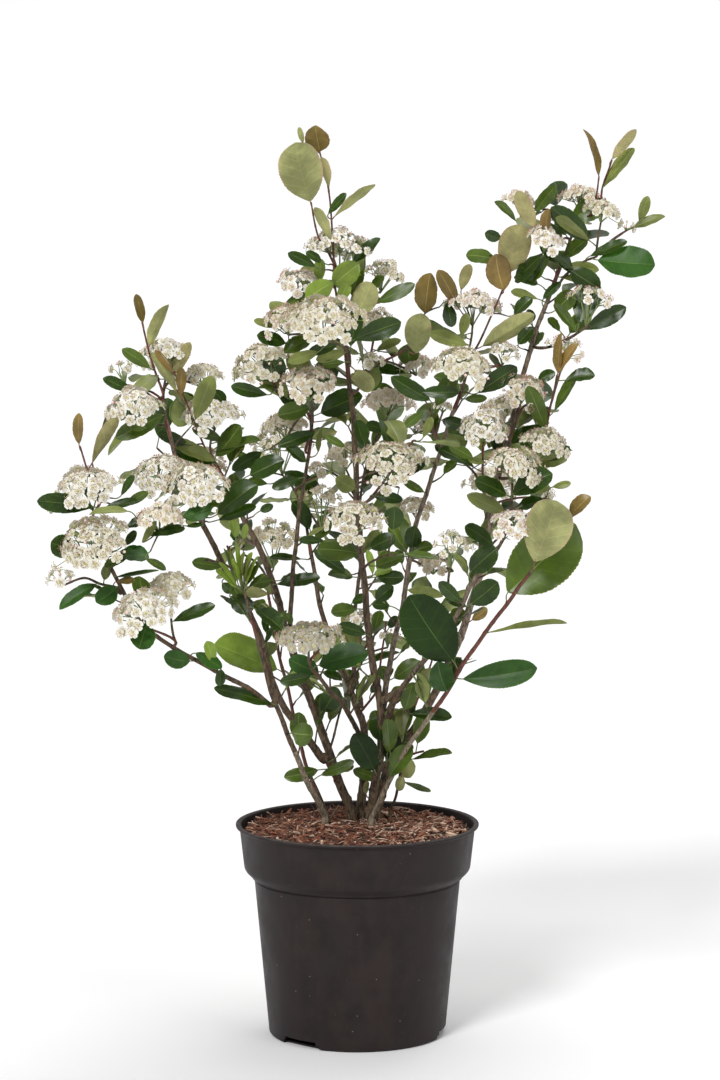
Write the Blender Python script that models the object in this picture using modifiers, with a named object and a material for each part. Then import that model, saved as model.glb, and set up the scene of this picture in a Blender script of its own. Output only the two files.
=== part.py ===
# A black chokeberry in bloom, a shrub of several stems grown in a black nursery pot under bark mulch.
# Metres, +Z up. The origin is the middle of the pot's flat underside, and -Y is the front.
# Each stem and bough is one tapering limb, and each mass of foliage is one solid: twigs that branch
# from a single stem by a seeded rule, with the leaves and the flower heads fused on.

import math
import random

import bmesh
import bpy
from mathutils import Matrix, Vector
from mathutils.bvhtree import BVHTree

GAP = 0.0003
UP = Vector((0.0, 0.0, 1.0))
GOLDEN_TURN = math.radians(137.5)
SEED = 41

# Base colour and roughness of each material.
POT_BLACK = ((0.022, 0.020, 0.019), 0.45)
BARK_MULCH = ((0.115, 0.052, 0.028), 0.95)
BARK_BROWN = ((0.105, 0.075, 0.060), 0.80)
LEAF_GREEN = ((0.045, 0.110, 0.022), 0.40)

# The pot: a container of about seven litres with a wide collar under a rolled lip.
POT_HEIGHT = 0.216
LIP_RADIUS = 0.1225
LIP_DEPTH = 0.0045
COLLAR_TOP_RADIUS = 0.1192
COLLAR_FOOT_RADIUS = 0.1150
COLLAR_FOOT_Z = 0.1655
WALL_TOP_RADIUS = 0.1038
WALL_TOP_Z = 0.1540
BASE_RADIUS = 0.0902
WALL = 0.0015
WALL_STEP_UP = 0.0018
FLOOR = 0.0020
POT_STEPS = 36
SLOTS = 3
FIRST_SLOT = math.radians(-130.5)
SLOT_WIDTH = 0.048
SLOT_HEIGHT = 0.008
SLOT_DEPTH = 0.018

# The potting mix and its mulch, level in the middle, where the stems stand.
MIX_EDGE_Z = 0.2065
MIX_TOP_Z = 0.2110
MIX_LEVEL_RADIUS = 0.058
MIX_ROOM = 0.0005

# The crown's outline, which no leaf may pass.
CROWN_LEFT = -0.3225
CROWN_RIGHT = 0.3135
CROWN_TOP = 0.924
LOWEST_LEAF = 0.222

# Stems that stand on the mix: foot (x, y), knees and tip (x, y, z), radius at the foot and at the tip.
STEMS = {
    "stem_left": ((-0.006, 0.022), [
        (-0.034, 0.004, 0.303), (-0.068, 0.005, 0.400), (-0.093, 0.030, 0.480),
        (-0.120, 0.045, 0.532), (-0.147, 0.060, 0.582)], 0.0056, 0.0021),
    "stem_left_front": ((-0.033, 0.004), [
        (-0.061, -0.040, 0.289), (-0.088, -0.078, 0.357), (-0.108, -0.100, 0.440)], 0.0034, 0.0020),
    "stem_left_back": ((-0.034, 0.035), [
        (-0.056, 0.050, 0.280), (-0.076, 0.070, 0.360), (-0.092, 0.095, 0.435)], 0.0023, 0.0015),
    "stem_middle": ((0.003, 0.036), [
        (0.008, 0.030, 0.300), (-0.002, 0.048, 0.332), (-0.022, 0.078, 0.376),
        (-0.041, 0.105, 0.438), (-0.052, 0.120, 0.500)], 0.0050, 0.0018),
    "stem_centre": ((0.012, 0.012), [
        (0.025, -0.006, 0.305), (0.014, -0.012, 0.397), (0.003, -0.012, 0.500),
        (-0.001, -0.012, 0.569), (-0.006, 0.000, 0.654), (-0.012, 0.000, 0.700)], 0.0046, 0.0022),
    "stem_right": ((0.020, 0.029), [
        (0.036, 0.026, 0.282), (0.067, 0.034, 0.320), (0.105, 0.045, 0.401), (0.125, 0.055, 0.460),
        (0.137, 0.060, 0.525), (0.156, 0.060, 0.614), (0.171, 0.060, 0.674), (0.191, 0.060, 0.739),
        (0.211, 0.060, 0.790)], 0.0053, 0.0019),
    "stem_right_front": ((0.014, -0.004), [
        (0.055, -0.042, 0.303), (0.091, -0.075, 0.360), (0.129, -0.100, 0.424),
        (0.170, -0.130, 0.488)], 0.0029, 0.0019),
    "stem_foot": ((0.034, 0.034), [(0.041, 0.030, 0.240), (0.044, 0.020, 0.266)], 0.0016, 0.0012),
}

# Boughs: the limb that carries each, the height where it leaves, then as for a stem.
BOUGHS = {
    "bough_left_front": ("stem_left", 0.285, [
        (-0.058, -0.018, 0.316), (-0.080, -0.040, 0.356), (-0.100, -0.060, 0.423),
        (-0.129, -0.072, 0.484), (-0.155, -0.075, 0.535), (-0.178, -0.040, 0.584),
        (-0.193, 0.010, 0.628)], 0.0042, 0.0020),
    "bough_left_inner": ("stem_left", 0.368, [
        (-0.066, -0.022, 0.410), (-0.065, 0.000, 0.480), (-0.058, 0.028, 0.534),
        (-0.048, 0.040, 0.600)], 0.0027, 0.0018),
    "bough_left_low": ("stem_left_front", 0.335, [
        (-0.107, -0.090, 0.357), (-0.148, -0.110, 0.388), (-0.204, -0.130, 0.431),
        (-0.236, -0.130, 0.486), (-0.250, -0.122, 0.515)], 0.0026, 0.0018),
    "bough_front": ("stem_middle", 0.296, [
        (-0.014, -0.030, 0.342), (-0.030, -0.075, 0.368), (-0.043, -0.125, 0.392)], 0.0028, 0.0018),
    "bough_back": ("stem_middle", 0.330, [
        (-0.004, 0.085, 0.366), (-0.004, 0.125, 0.405), (0.001, 0.165, 0.445),
        (0.004, 0.185, 0.482)], 0.0026, 0.0017),
    "bough_right_inner": ("stem_centre", 0.335, [
        (0.033, 0.022, 0.374), (0.046, 0.038, 0.436), (0.061, 0.048, 0.517), (0.083, 0.048, 0.588),
        (0.106, 0.040, 0.655)], 0.0033, 0.0019),
    "bough_right_low": ("stem_centre", 0.322, [
        (0.040, -0.036, 0.354), (0.066, -0.060, 0.391), (0.095, -0.075, 0.435), (0.117, -0.085, 0.478),
        (0.137, -0.090, 0.506)], 0.0033, 0.0019),
}

# Foliage: the limb that carries each mass, the height where its stem leaves the limb (None at the tip),
# and its shoots. A head is a cluster of blossom (middle, width), a leader is a young upright shoot and a
# tuft is a leafy one (tip, leaf length), and a leaf is a single large leaf (tip, length).
MASSES = {
    "foliage_left_low": ("bough_left_low", 0.415, [
        ("head", -0.209, -0.170, 0.450, 0.064), ("head", -0.183, -0.100, 0.473, 0.044),
        ("leaf", -0.160, -0.150, 0.388, 0.045)]),
    "foliage_far_left_low": ("bough_left_low", 0.458, [
        ("head", -0.259, -0.175, 0.516, 0.064), ("head", -0.291, -0.110, 0.480, 0.025),
        ("leaf", -0.294, -0.130, 0.448, 0.050), ("leaf", -0.314, -0.140, 0.530, 0.044)]),
    "foliage_far_left": ("bough_left_low", None, [
        ("head", -0.268, -0.095, 0.566, 0.066), ("leader", -0.277, -0.080, 0.622, 0.028),
        ("leaf", -0.320, -0.100, 0.552, 0.052), ("leader", -0.256, -0.075, 0.628, 0.045)]),
    "foliage_left": ("bough_left_front", 0.530, [
        ("head", -0.157, -0.135, 0.571, 0.060), ("head", -0.197, -0.075, 0.577, 0.050),
        ("head", -0.190, -0.155, 0.543, 0.042)]),
    "foliage_left_top": ("bough_left_front", None, [
        ("head", -0.198, 0.075, 0.694, 0.054), ("head", -0.226, -0.005, 0.641, 0.054),
        ("head", -0.158, 0.100, 0.670, 0.040), ("leader", -0.226, 0.070, 0.752, 0.038),
        ("leader", -0.240, 0.060, 0.690, 0.034)]),
    "foliage_left_middle": ("stem_left", None, [
        ("head", -0.146, 0.065, 0.630, 0.058), ("leader", -0.172, 0.050, 0.672, 0.032)]),
    "foliage_left_back": ("stem_left", 0.500, [
        ("head", -0.168, 0.165, 0.565, 0.056), ("tuft", -0.210, 0.130, 0.590, 0.048)]),
    "foliage_left_tuft": ("stem_left_front", None, [
        ("tuft", -0.128, -0.098, 0.512, 0.036), ("tuft", -0.104, -0.105, 0.500, 0.032),
        ("tuft", -0.150, -0.085, 0.496, 0.034)]),
    "foliage_left_hollow": ("stem_left_front", 0.372, [
        ("leaf", -0.138, -0.075, 0.420, 0.052), ("tuft", -0.120, -0.125, 0.420, 0.042)]),
    "foliage_inner_left": ("bough_left_inner", 0.575, [
        ("head", -0.102, 0.010, 0.682, 0.054), ("head", -0.078, 0.105, 0.616, 0.048)]),
    "foliage_inner": ("bough_left_inner", None, [
        ("head", -0.048, -0.025, 0.664, 0.054), ("tuft", -0.070, 0.060, 0.690, 0.045)]),
    "foliage_back_left": ("stem_middle", None, [
        ("head", -0.082, 0.190, 0.588, 0.066), ("head", -0.036, 0.110, 0.544, 0.044)]),
    "foliage_low_left_back": ("stem_left_back", None, [
        ("head", -0.090, 0.110, 0.500, 0.054), ("tuft", -0.120, 0.130, 0.478, 0.045)]),
    "foliage_front": ("bough_front", None, [
        ("head", -0.047, -0.185, 0.421, 0.060), ("tuft", -0.020, -0.150, 0.425, 0.045)]),
    "foliage_top_front": ("stem_centre", 0.630, [
        ("head", -0.028, -0.095, 0.731, 0.068), ("head", -0.076, -0.060, 0.730, 0.046)]),
    "foliage_top": ("stem_centre", None, [
        ("head", -0.018, 0.015, 0.805, 0.064), ("head", 0.029, 0.045, 0.778, 0.042),
        ("head", -0.062, 0.010, 0.768, 0.040), ("leader", -0.054, 0.000, 0.924, 0.044)]),
    "foliage_top_right": ("stem_centre", 0.655, [
        ("head", 0.018, 0.100, 0.722, 0.034), ("leader", 0.078, 0.085, 0.772, 0.046),
        ("head", 0.062, 0.125, 0.676, 0.034)]),
    "foliage_centre": ("stem_centre", 0.545, [
        ("head", 0.031, -0.100, 0.591, 0.060), ("tuft", 0.055, -0.060, 0.612, 0.045)]),
    "foliage_centre_front": ("stem_centre", 0.468, [
        ("head", 0.000, -0.155, 0.534, 0.052), ("tuft", 0.030, -0.120, 0.505, 0.050)]),
    "foliage_back": ("bough_back", None, [
        ("head", -0.012, 0.190, 0.574, 0.042), ("head", 0.032, 0.165, 0.634, 0.050),
        ("tuft", -0.040, 0.230, 0.560, 0.045), ("tuft", 0.045, 0.220, 0.540, 0.050)]),
    "foliage_inner_right": ("bough_right_inner", 0.470, [
        ("head", 0.062, 0.115, 0.527, 0.034), ("head", 0.080, 0.095, 0.470, 0.032)]),
    "foliage_inner_front": ("bough_right_inner", 0.560, [
        ("tuft", 0.075, -0.015, 0.635, 0.048), ("head", 0.060, 0.080, 0.617, 0.030)]),
    "foliage_low_middle": ("stem_middle", 0.352, [
        ("head", 0.004, 0.050, 0.418, 0.026), ("tuft", 0.026, 0.095, 0.405, 0.038)]),
    "foliage_foot": ("stem_centre", 0.258, [
        ("tuft", 0.004, -0.062, 0.300, 0.036), ("tuft", 0.050, -0.075, 0.285, 0.034)]),
    "foliage_foot_right": ("stem_foot", None, [
        ("tuft", 0.068, 0.004, 0.290, 0.038), ("tuft", 0.036, 0.052, 0.284, 0.034)]),
    "foliage_foot_left": ("stem_left", 0.262, [
        ("tuft", -0.052, -0.058, 0.288, 0.036), ("tuft", -0.050, 0.020, 0.290, 0.034)]),
    "foliage_right_inner": ("bough_right_inner", None, [
        ("head", 0.105, -0.030, 0.684, 0.056), ("head", 0.121, 0.080, 0.742, 0.056),
        ("head", 0.143, 0.025, 0.695, 0.032), ("leader", 0.151, 0.070, 0.806, 0.040)]),
    "foliage_right_top": ("stem_right", None, [
        ("head", 0.231, 0.075, 0.853, 0.046), ("head", 0.191, 0.035, 0.808, 0.036),
        ("head", 0.166, 0.100, 0.848, 0.028), ("leader", 0.246, 0.050, 0.922, 0.044)]),
    "foliage_right_leader": ("stem_right", 0.760, [
        ("leader", 0.311, 0.050, 0.832, 0.034), ("leaf", 0.298, 0.015, 0.792, 0.052)]),
    "foliage_right": ("stem_right", 0.700, [
        ("head", 0.237, 0.030, 0.747, 0.044), ("leaf", 0.272, 0.010, 0.744, 0.045)]),
    "foliage_right_back": ("stem_right", 0.590, [
        ("head", 0.172, 0.125, 0.656, 0.046), ("head", 0.150, 0.170, 0.622, 0.044),
        ("tuft", 0.195, 0.185, 0.590, 0.048)]),
    "foliage_right_outer": ("stem_right", 0.565, [
        ("head", 0.187, -0.010, 0.611, 0.048), ("head", 0.211, 0.040, 0.697, 0.034),
        ("leader", 0.206, 0.000, 0.704, 0.040), ("leaf", 0.232, 0.040, 0.655, 0.048)]),
    "foliage_right_middle": ("stem_right", 0.535, [
        ("head", 0.128, -0.030, 0.622, 0.044), ("tuft", 0.105, 0.115, 0.580, 0.045)]),
    "foliage_right_front": ("bough_right_low", None, [
        ("head", 0.154, -0.105, 0.588, 0.054), ("head", 0.152, -0.150, 0.528, 0.040),
        ("tuft", 0.190, -0.070, 0.555, 0.050)]),
    "foliage_low_right": ("bough_right_low", 0.452, [
        ("head", 0.094, -0.135, 0.513, 0.036), ("leaf", 0.058, -0.150, 0.462, 0.040)]),
    "foliage_far_right": ("stem_right_front", None, [
        ("leaf", 0.196, -0.200, 0.548, 0.062), ("leaf", 0.224, -0.120, 0.520, 0.068),
        ("leaf", 0.232, -0.090, 0.556, 0.048), ("leaf", 0.158, -0.175, 0.520, 0.046)]),
    "foliage_far_right_low": ("stem_right_front", 0.358, [
        ("leaf", 0.177, -0.125, 0.386, 0.064), ("leaf", 0.207, -0.110, 0.436, 0.070),
        ("leaf", 0.052, -0.125, 0.436, 0.072)]),
    "foliage_back_right": ("stem_right", 0.450, [
        ("head", 0.145, 0.200, 0.545, 0.054), ("tuft", 0.185, 0.165, 0.520, 0.050),
        ("tuft", 0.095, 0.190, 0.500, 0.048)]),
}

# A stem stands on a flared foot, and a bough leaves its limb square to it for an elbow's length.
FLARE = 1.35
FLARE_HEIGHT = 0.012
BOUGH_ELBOW = 1.3
SIDE_GAP = 0.0004

# Leaves stand a rung apart along a shoot, and lean off it by an angle between two limits. Widths and
# thicknesses are shares of a leaf's length, and a root is how deep a leaf starts inside its twig.
LEAF_RUNG = 0.015
MOST_LEAVES = 6
FEWEST_LEAVES = 3
LEAF_WIDTH = 0.64
LARGE_LEAF_WIDTH = 0.69
LEADER_WIDTH = 0.36
LEAF_THICK = 0.032
LEAF_SAG = 0.10
LEAF_LEAN = (48, 78)
LEADER_LEAN = (12, 50)
HEAD_LEAF = 0.050
ROOT = 0.0022
TWIG_SPAN = 0.022
TWIG_ELBOW = 0.003
TWIG_FOOT = 0.0018
TWIG_TIP = 0.0011

# Room that a flower head, and a twig or leaf, keeps to what it must not touch, and how often each is
# tried in a new place.
HEAD_CLEAR = 0.0007
CLEAR = 0.0002
HEAD_TRIALS = 30
TWIG_TRIALS = 40
LEAF_TRIALS = 6


def clear_scene():
    for old in list(bpy.data.objects):
        bpy.data.objects.remove(old)


def make_material(name, look):
    colour, roughness = look
    material = bpy.data.materials.new(name)
    material.use_nodes = True
    shader = material.node_tree.nodes["Principled BSDF"]
    shader.inputs["Base Color"].default_value = (*colour, 1.0)
    shader.inputs["Roughness"].default_value = roughness
    shader.inputs["Metallic"].default_value = 0.0
    return material


def make_collection(name):
    collection = bpy.data.collections.new(name)
    bpy.context.scene.collection.children.link(collection)
    return collection


def add_object(name, data, collection):
    made = bpy.data.objects.new(name, data)
    collection.objects.link(made)
    return made


# Curves and routes

def smooth_route(points, steps):
    # A Catmull-Rom curve through the points, as a list of steps to each span.
    ends = [2 * points[0] - points[1], *points, 2 * points[-1] - points[-2]]
    route = [points[0].copy()]
    for a, b, c, d in zip(ends, ends[1:], ends[2:], ends[3:]):
        for step in range(1, steps + 1):
            t = step / steps
            route.append(0.5 * (2 * b + (c - a) * t + (2 * a - 5 * b + 4 * c - d) * t * t
                                + (3 * b - a - 3 * c + d) * t ** 3))
    return route


def bent_route(start, heading, end, sway):
    # A shoot sets off along its heading and rises to its end, in one to three straight lengths.
    reach = (end - start).length
    steps = max(1, min(3, round(reach / TWIG_SPAN)))
    knee = start + heading * (0.42 * reach) + UP * (0.06 * reach) + sway
    route = []
    for step in range(steps + 1):
        t = step / steps
        route.append(start * (1 - t) ** 2 + knee * (2 * t * (1 - t)) + end * t * t)
    return route


def lengths_along(route):
    total = [0.0]
    for a, b in zip(route, route[1:]):
        total.append(total[-1] + (b - a).length)
    return total


def point_along(route, fraction):
    # The point at a fraction of the route's length, and the route's direction there.
    total = lengths_along(route)
    wanted = fraction * total[-1]
    for a, b, done, end in zip(route, route[1:], total, total[1:]):
        heading = (b - a).normalized()
        if wanted <= end:
            return a + heading * (wanted - done), heading
    return route[-1], heading


def point_at_height(limb, height):
    # The point where a limb passes a height, its direction and its radius there.
    route, radii = limb
    for a, b, r_a, r_b in zip(route, route[1:], radii, radii[1:]):
        if a.z <= height <= b.z:
            t = (height - a.z) / (b.z - a.z)
            return a.lerp(b, t), (b - a).normalized(), r_a + (r_b - r_a) * t
    raise ValueError(f"the limb does not pass {height}")


def taper(count, foot, tip):
    return [foot + (tip - foot) * (step / (count - 1)) ** 0.8 for step in range(count)]


def across(direction, heading):
    # The part of a direction that is square to a heading.
    return (direction - heading * direction.dot(heading)).normalized()


# Meshes

def twig_section():
    # A triangle of radius 1, the section of every twig.
    section = bpy.data.curves.new("twig_section", "CURVE")
    spline = section.splines.new("POLY")
    spline.points.add(2)
    for corner, point in enumerate(spline.points):
        turn = corner * math.tau / 3
        point.co = (math.cos(turn), math.sin(turn), 0.0, 1.0)
    spline.use_cyclic_u = True
    guide = add_object("twig_section", section, guides)
    guide.hide_render = True
    guide.display_type = "WIRE"
    return guide


def tube_mesh(name, route, radii, sides):
    # A tapering tube with closed ends, of 3 sides for a twig and 6 or 8 for a limb.
    curve = bpy.data.curves.new(name, "CURVE")
    curve.dimensions = "3D"
    curve.use_fill_caps = True
    if sides == 3:
        curve.bevel_mode = "OBJECT"
        curve.bevel_object = triangle
    else:
        curve.bevel_depth = 1.0
        curve.bevel_resolution = sides // 2 - 2
    spline = curve.splines.new("POLY")
    spline.points.add(len(route) - 1)
    for point, place, radius in zip(spline.points, route, radii):
        point.co = (*place, 1.0)
        point.radius = radius
    holder = add_object(name + "_curve", curve, guides)
    graph = bpy.context.evaluated_depsgraph_get()
    mesh = bpy.data.meshes.new_from_object(holder.evaluated_get(graph))
    bpy.data.objects.remove(holder)
    bpy.data.curves.remove(curve)
    shape = bmesh.new()
    shape.from_mesh(mesh)
    bmesh.ops.remove_doubles(shape, verts=shape.verts, dist=0.00005)
    bmesh.ops.recalc_face_normals(shape, faces=shape.faces)
    shape.to_mesh(mesh)
    shape.free()
    return mesh


def leaf_mesh(base, heading, face_up, length, width):
    # Four points round the outline, widest past the middle, and one above and one below: eight faces.
    shape = bmesh.new()
    bmesh.ops.create_uvsphere(shape, u_segments=4, v_segments=2, radius=1.0)
    side = face_up.cross(heading).normalized()
    normal = heading.cross(side)
    for vert in shape.verts:
        along = 0.5 + 0.5 * vert.co.x + 0.05 * (1.0 - vert.co.x ** 2)
        wide = vert.co.y * 0.5 * width
        thick = vert.co.z * 0.5 * LEAF_THICK * length
        sag = LEAF_SAG * length * along * along
        vert.co = base + heading * (along * length) + side * wide + normal * (thick - sag)
    return finish_mesh("leaf", shape)


def head_mesh(middle, axis, width):
    # A shallow dome of blossom over a cone of stalks.
    shape = bmesh.new()
    bmesh.ops.create_uvsphere(shape, u_segments=8 if width > 0.035 else 6, v_segments=3, radius=1.0)
    turn = UP.rotation_difference(axis).to_matrix()
    for vert in shape.verts:
        pole = math.hypot(vert.co.x, vert.co.y) < 0.1
        spread = 0.0 if pole else (0.40 if vert.co.z > 0 else 0.50)
        rise = (0.24 if pole else 0.15) if vert.co.z > 0 else (-0.30 if pole else -0.04)
        flat = Vector((vert.co.x, vert.co.y, 0.0))
        if not pole:
            flat.normalize()
        vert.co = middle + turn @ (flat * (spread * width) + UP * (rise * width))
    return finish_mesh("head", shape)


def finish_mesh(name, shape):
    bmesh.ops.recalc_face_normals(shape, faces=shape.faces)
    mesh = bpy.data.meshes.new(name)
    shape.to_mesh(mesh)
    shape.free()
    return mesh


# Room between solids

class Solid:
    # A closed mesh kept for tests of what it touches: its box, its faces and its points.
    def __init__(self, mesh, swell=0.0):
        self.points = [vert.co + vert.normal * swell for vert in mesh.vertices]
        faces = [tuple(face.vertices) for face in mesh.polygons]
        self.tree = BVHTree.FromPolygons(self.points, faces)
        self.low = [min(point[axis] for point in self.points) for axis in range(3)]
        self.high = [max(point[axis] for point in self.points) for axis in range(3)]

    def apart(self, other):
        return any(self.low[axis] > other.high[axis] or other.low[axis] > self.high[axis]
                   for axis in range(3))

    def holds(self, point):
        # A ray from a point inside leaves through the first face that it meets.
        ray = Vector((0.31, 0.17, 0.93))
        place, normal, _, _ = self.tree.ray_cast(point, ray)
        return place is not None and normal.dot(ray) > 0.0

    def touches(self, other):
        if self.apart(other):
            return False
        if self.tree.overlap(other.tree):
            return True
        return other.holds(self.points[0]) or self.holds(other.points[0])


def is_free(mesh, obstacles, clear):
    swollen = Solid(mesh, clear)
    return not any(swollen.touches(other) for other in obstacles)


def in_crown(mesh):
    return all(CROWN_LEFT <= vert.co.x <= CROWN_RIGHT and LOWEST_LEAF <= vert.co.z <= CROWN_TOP
               for vert in mesh.vertices)


# Pot and mix

def turned(name, profile, material):
    # The profile is turned about Z. It runs up the inner side and down the outer one.
    mesh = bpy.data.meshes.new(name)
    points = [(radius, 0.0, z) for radius, z in profile]
    mesh.from_pydata(points, [(i, i + 1) for i in range(len(points) - 1)], [])
    made = add_object(name, mesh, parts)
    mesh.materials.append(material)
    screw = made.modifiers.new("turn", "SCREW")
    screw.steps = POT_STEPS
    screw.render_steps = POT_STEPS
    screw.use_merge_vertices = True
    screw.merge_threshold = 0.0001
    screw.use_smooth_shade = False
    return made


def make_pot():
    inner = [
        (0.0, FLOOR), (BASE_RADIUS - WALL, FLOOR), (WALL_TOP_RADIUS - WALL, WALL_TOP_Z + WALL_STEP_UP),
        (COLLAR_FOOT_RADIUS - WALL, COLLAR_FOOT_Z + WALL_STEP_UP),
        (COLLAR_TOP_RADIUS - WALL, POT_HEIGHT)]
    outer = [
        (LIP_RADIUS, POT_HEIGHT), (LIP_RADIUS, POT_HEIGHT - LIP_DEPTH),
        (COLLAR_TOP_RADIUS, POT_HEIGHT - LIP_DEPTH), (COLLAR_FOOT_RADIUS, COLLAR_FOOT_Z),
        (WALL_TOP_RADIUS, WALL_TOP_Z), (BASE_RADIUS, 0.0), (0.0, 0.0)]
    pot = turned("pot", inner + outer, make_material("pot_black", POT_BLACK))
    for slot in range(SLOTS):
        bpy.ops.mesh.primitive_cube_add(size=1.0)
        cutter = bpy.context.object
        cutter.name = f"slot_cutter_{slot + 1}"
        bpy.context.collection.objects.unlink(cutter)
        cutters.objects.link(cutter)
        turn = FIRST_SLOT + slot * math.tau / SLOTS
        cutter.scale = (SLOT_DEPTH, SLOT_WIDTH, 2 * SLOT_HEIGHT)
        cutter.location = (BASE_RADIUS * math.cos(turn), BASE_RADIUS * math.sin(turn), 0.0)
        cutter.rotation_euler = (0.0, 0.0, turn)
        cutter.hide_render = True
        cutter.display_type = "WIRE"
    cut = pot.modifiers.new("drain_slots", "BOOLEAN")
    cut.operation = "DIFFERENCE"
    cut.operand_type = "COLLECTION"
    cut.collection = cutters
    cut.solver = "EXACT"
    return pot


def make_mix():
    # The mix keeps clear of the wall all the way up.
    clear = WALL + MIX_ROOM
    wall_slope = (WALL_TOP_RADIUS - BASE_RADIUS) / WALL_TOP_Z
    collar_slope = (COLLAR_TOP_RADIUS - COLLAR_FOOT_RADIUS) / (POT_HEIGHT - COLLAR_FOOT_Z)
    foot_z = FLOOR + GAP
    profile = [
        (0.0, MIX_TOP_Z), (MIX_LEVEL_RADIUS, MIX_TOP_Z),
        (COLLAR_FOOT_RADIUS + collar_slope * (MIX_EDGE_Z - COLLAR_FOOT_Z) - clear, MIX_EDGE_Z),
        (COLLAR_FOOT_RADIUS - clear, COLLAR_FOOT_Z + WALL_STEP_UP + GAP),
        (WALL_TOP_RADIUS - clear, WALL_TOP_Z + WALL_STEP_UP + GAP),
        (BASE_RADIUS + wall_slope * foot_z - clear, foot_z), (0.0, foot_z)]
    return turned("potting_mix", profile, make_material("bark_mulch", BARK_MULCH))


# Limbs

def leave_limb(limb, height, toward):
    # Where something leaves a limb: at its side, square to it, or straight on from its tip.
    route, radii = limb
    if height is None:
        heading = (route[-1] - route[-2]).normalized()
        return route[-1] + heading * GAP, heading
    place, along, thick = point_at_height(limb, height)
    outward = across(toward - place, along)
    return place + outward * (thick + SIDE_GAP), outward


def make_limbs(bark):
    limbs = {}
    for name, (foot, knees, foot_radius, tip_radius) in STEMS.items():
        start = Vector((*foot, MIX_TOP_Z + GAP))
        flare = start + UP * FLARE_HEIGHT
        points = [flare, *(Vector(knee) for knee in knees)]
        route = [start, *smooth_route(points, 2)]
        radii = [foot_radius * FLARE, *taper(len(route) - 1, foot_radius, tip_radius)]
        limbs[name] = (route, radii)
    for name, (parent, height, knees, foot_radius, tip_radius) in BOUGHS.items():
        points = [Vector(knee) for knee in knees]
        start, outward = leave_limb(limbs[parent], height, points[0])
        elbow = start + outward * (BOUGH_ELBOW * foot_radius)
        route = [start, *smooth_route([elbow, *points], 2)]
        limbs[name] = (route, [foot_radius, *taper(len(route) - 1, foot_radius, tip_radius)])
    for name, (route, radii) in limbs.items():
        sides = 8 if radii[1] > 0.004 else 6
        mesh = tube_mesh(name, route, radii, sides)
        mesh.materials.append(bark)
        add_object(name, mesh, parts)
        mesh.shade_smooth()
        mesh.set_sharp_from_angle(angle=math.radians(50))
    return limbs


# Foliage

def place_heads(name, obstacles, seeded):
    # Each flower head keeps its set place, or moves a few millimetres to where it has room.
    shoots = MASSES[name][2]
    pieces = []
    middles = {}
    for number, (kind, x, y, z, width) in enumerate(shoots):
        if kind != "head":
            continue
        axis = (UP + Vector((0.9 * x, 0.9 * y - 0.12, 0.0))).normalized()
        for trial in range(HEAD_TRIALS):
            step = 0.0006 * trial
            shift = Vector((seeded.uniform(-1, 1), seeded.uniform(-2, 2), seeded.uniform(-1, 1))) * step
            middle = Vector((x, y, z)) + shift
            mesh = head_mesh(middle, axis, width)
            if is_free(mesh, obstacles, HEAD_CLEAR):
                pieces.append(mesh)
                middles[number] = middle
                break
            bpy.data.meshes.remove(mesh)
        else:
            print(f"{name}: no room for head {number}")
    return pieces, middles


def grow_twigs(name, limbs, middles, obstacles, seeded):
    # One stem sets off from the limb, and the mass's other shoots leave the stem on its way.
    limb_name, height, shoots = MASSES[name]
    pieces = []
    grown = []
    stem = None
    for number, (kind, x, y, z, size) in enumerate(shoots):
        if kind == "head" and number not in middles:
            continue
        tip = Vector((x, y, z))
        if stem is None:
            start, heading = leave_limb(limbs[limb_name], height, tip)
            elbow = start + heading * TWIG_ELBOW
        else:
            start, heading = point_along(stem, 0.30 + 0.18 * (number - 1))
        end = tip
        if kind == "head":
            end = middles[number] - UP * (0.18 * size)
        elif kind == "leaf":
            end = tip - (tip - start).normalized() * size
        for trial in range(TWIG_TRIALS):
            wander = Vector([seeded.uniform(-1, 1) for _ in range(3)]) * (0.0018 * trial)
            if stem is None:
                route = [start, *bent_route(elbow, heading, end, wander)]
            else:
                route = bent_route(start, heading, end, wander)
            radii = taper(len(route), TWIG_FOOT if stem is None else TWIG_FOOT * 0.85, TWIG_TIP)
            mesh = tube_mesh("twig", route, radii, 3)
            if is_free(mesh, obstacles, CLEAR):
                break
            bpy.data.meshes.remove(mesh)
            mesh = None
        if mesh is None:
            print(f"{name}: no room for shoot {number} ({kind})")
            if stem is None:
                break
            continue
        if stem is None:
            stem = route
        pieces.append(mesh)
        grown.append((kind, route, size))
    return pieces, grown


def leaf_places(kind, route, size, seeded):
    # (fraction along the shoot, leaf length, width to length, lean off the shoot), from the tip down.
    reach = lengths_along(route)[-1]
    if kind == "leaf":
        return [(1.0, size, LARGE_LEAF_WIDTH, 0.0)]
    if kind == "leader":
        least, most = LEADER_LEAN
        count = max(FEWEST_LEAVES, min(MOST_LEAVES, int(reach / LEAF_RUNG)))
        return [(1.0 - 0.62 * rung / count, size * (0.75 + 0.35 * rung / count), LEADER_WIDTH,
                 math.radians(least + (most - least) * rung / count)) for rung in range(count)]
    count = max(FEWEST_LEAVES, min(MOST_LEAVES, int(0.75 * reach / LEAF_RUNG)))
    longest = size if kind == "tuft" else HEAD_LEAF
    first = 1.0 if kind == "tuft" else 0.86
    return [(first - 0.70 * rung / count, longest * seeded.uniform(0.78, 1.08), LEAF_WIDTH,
             math.radians(seeded.uniform(*LEAF_LEAN))) for rung in range(count)]


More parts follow.
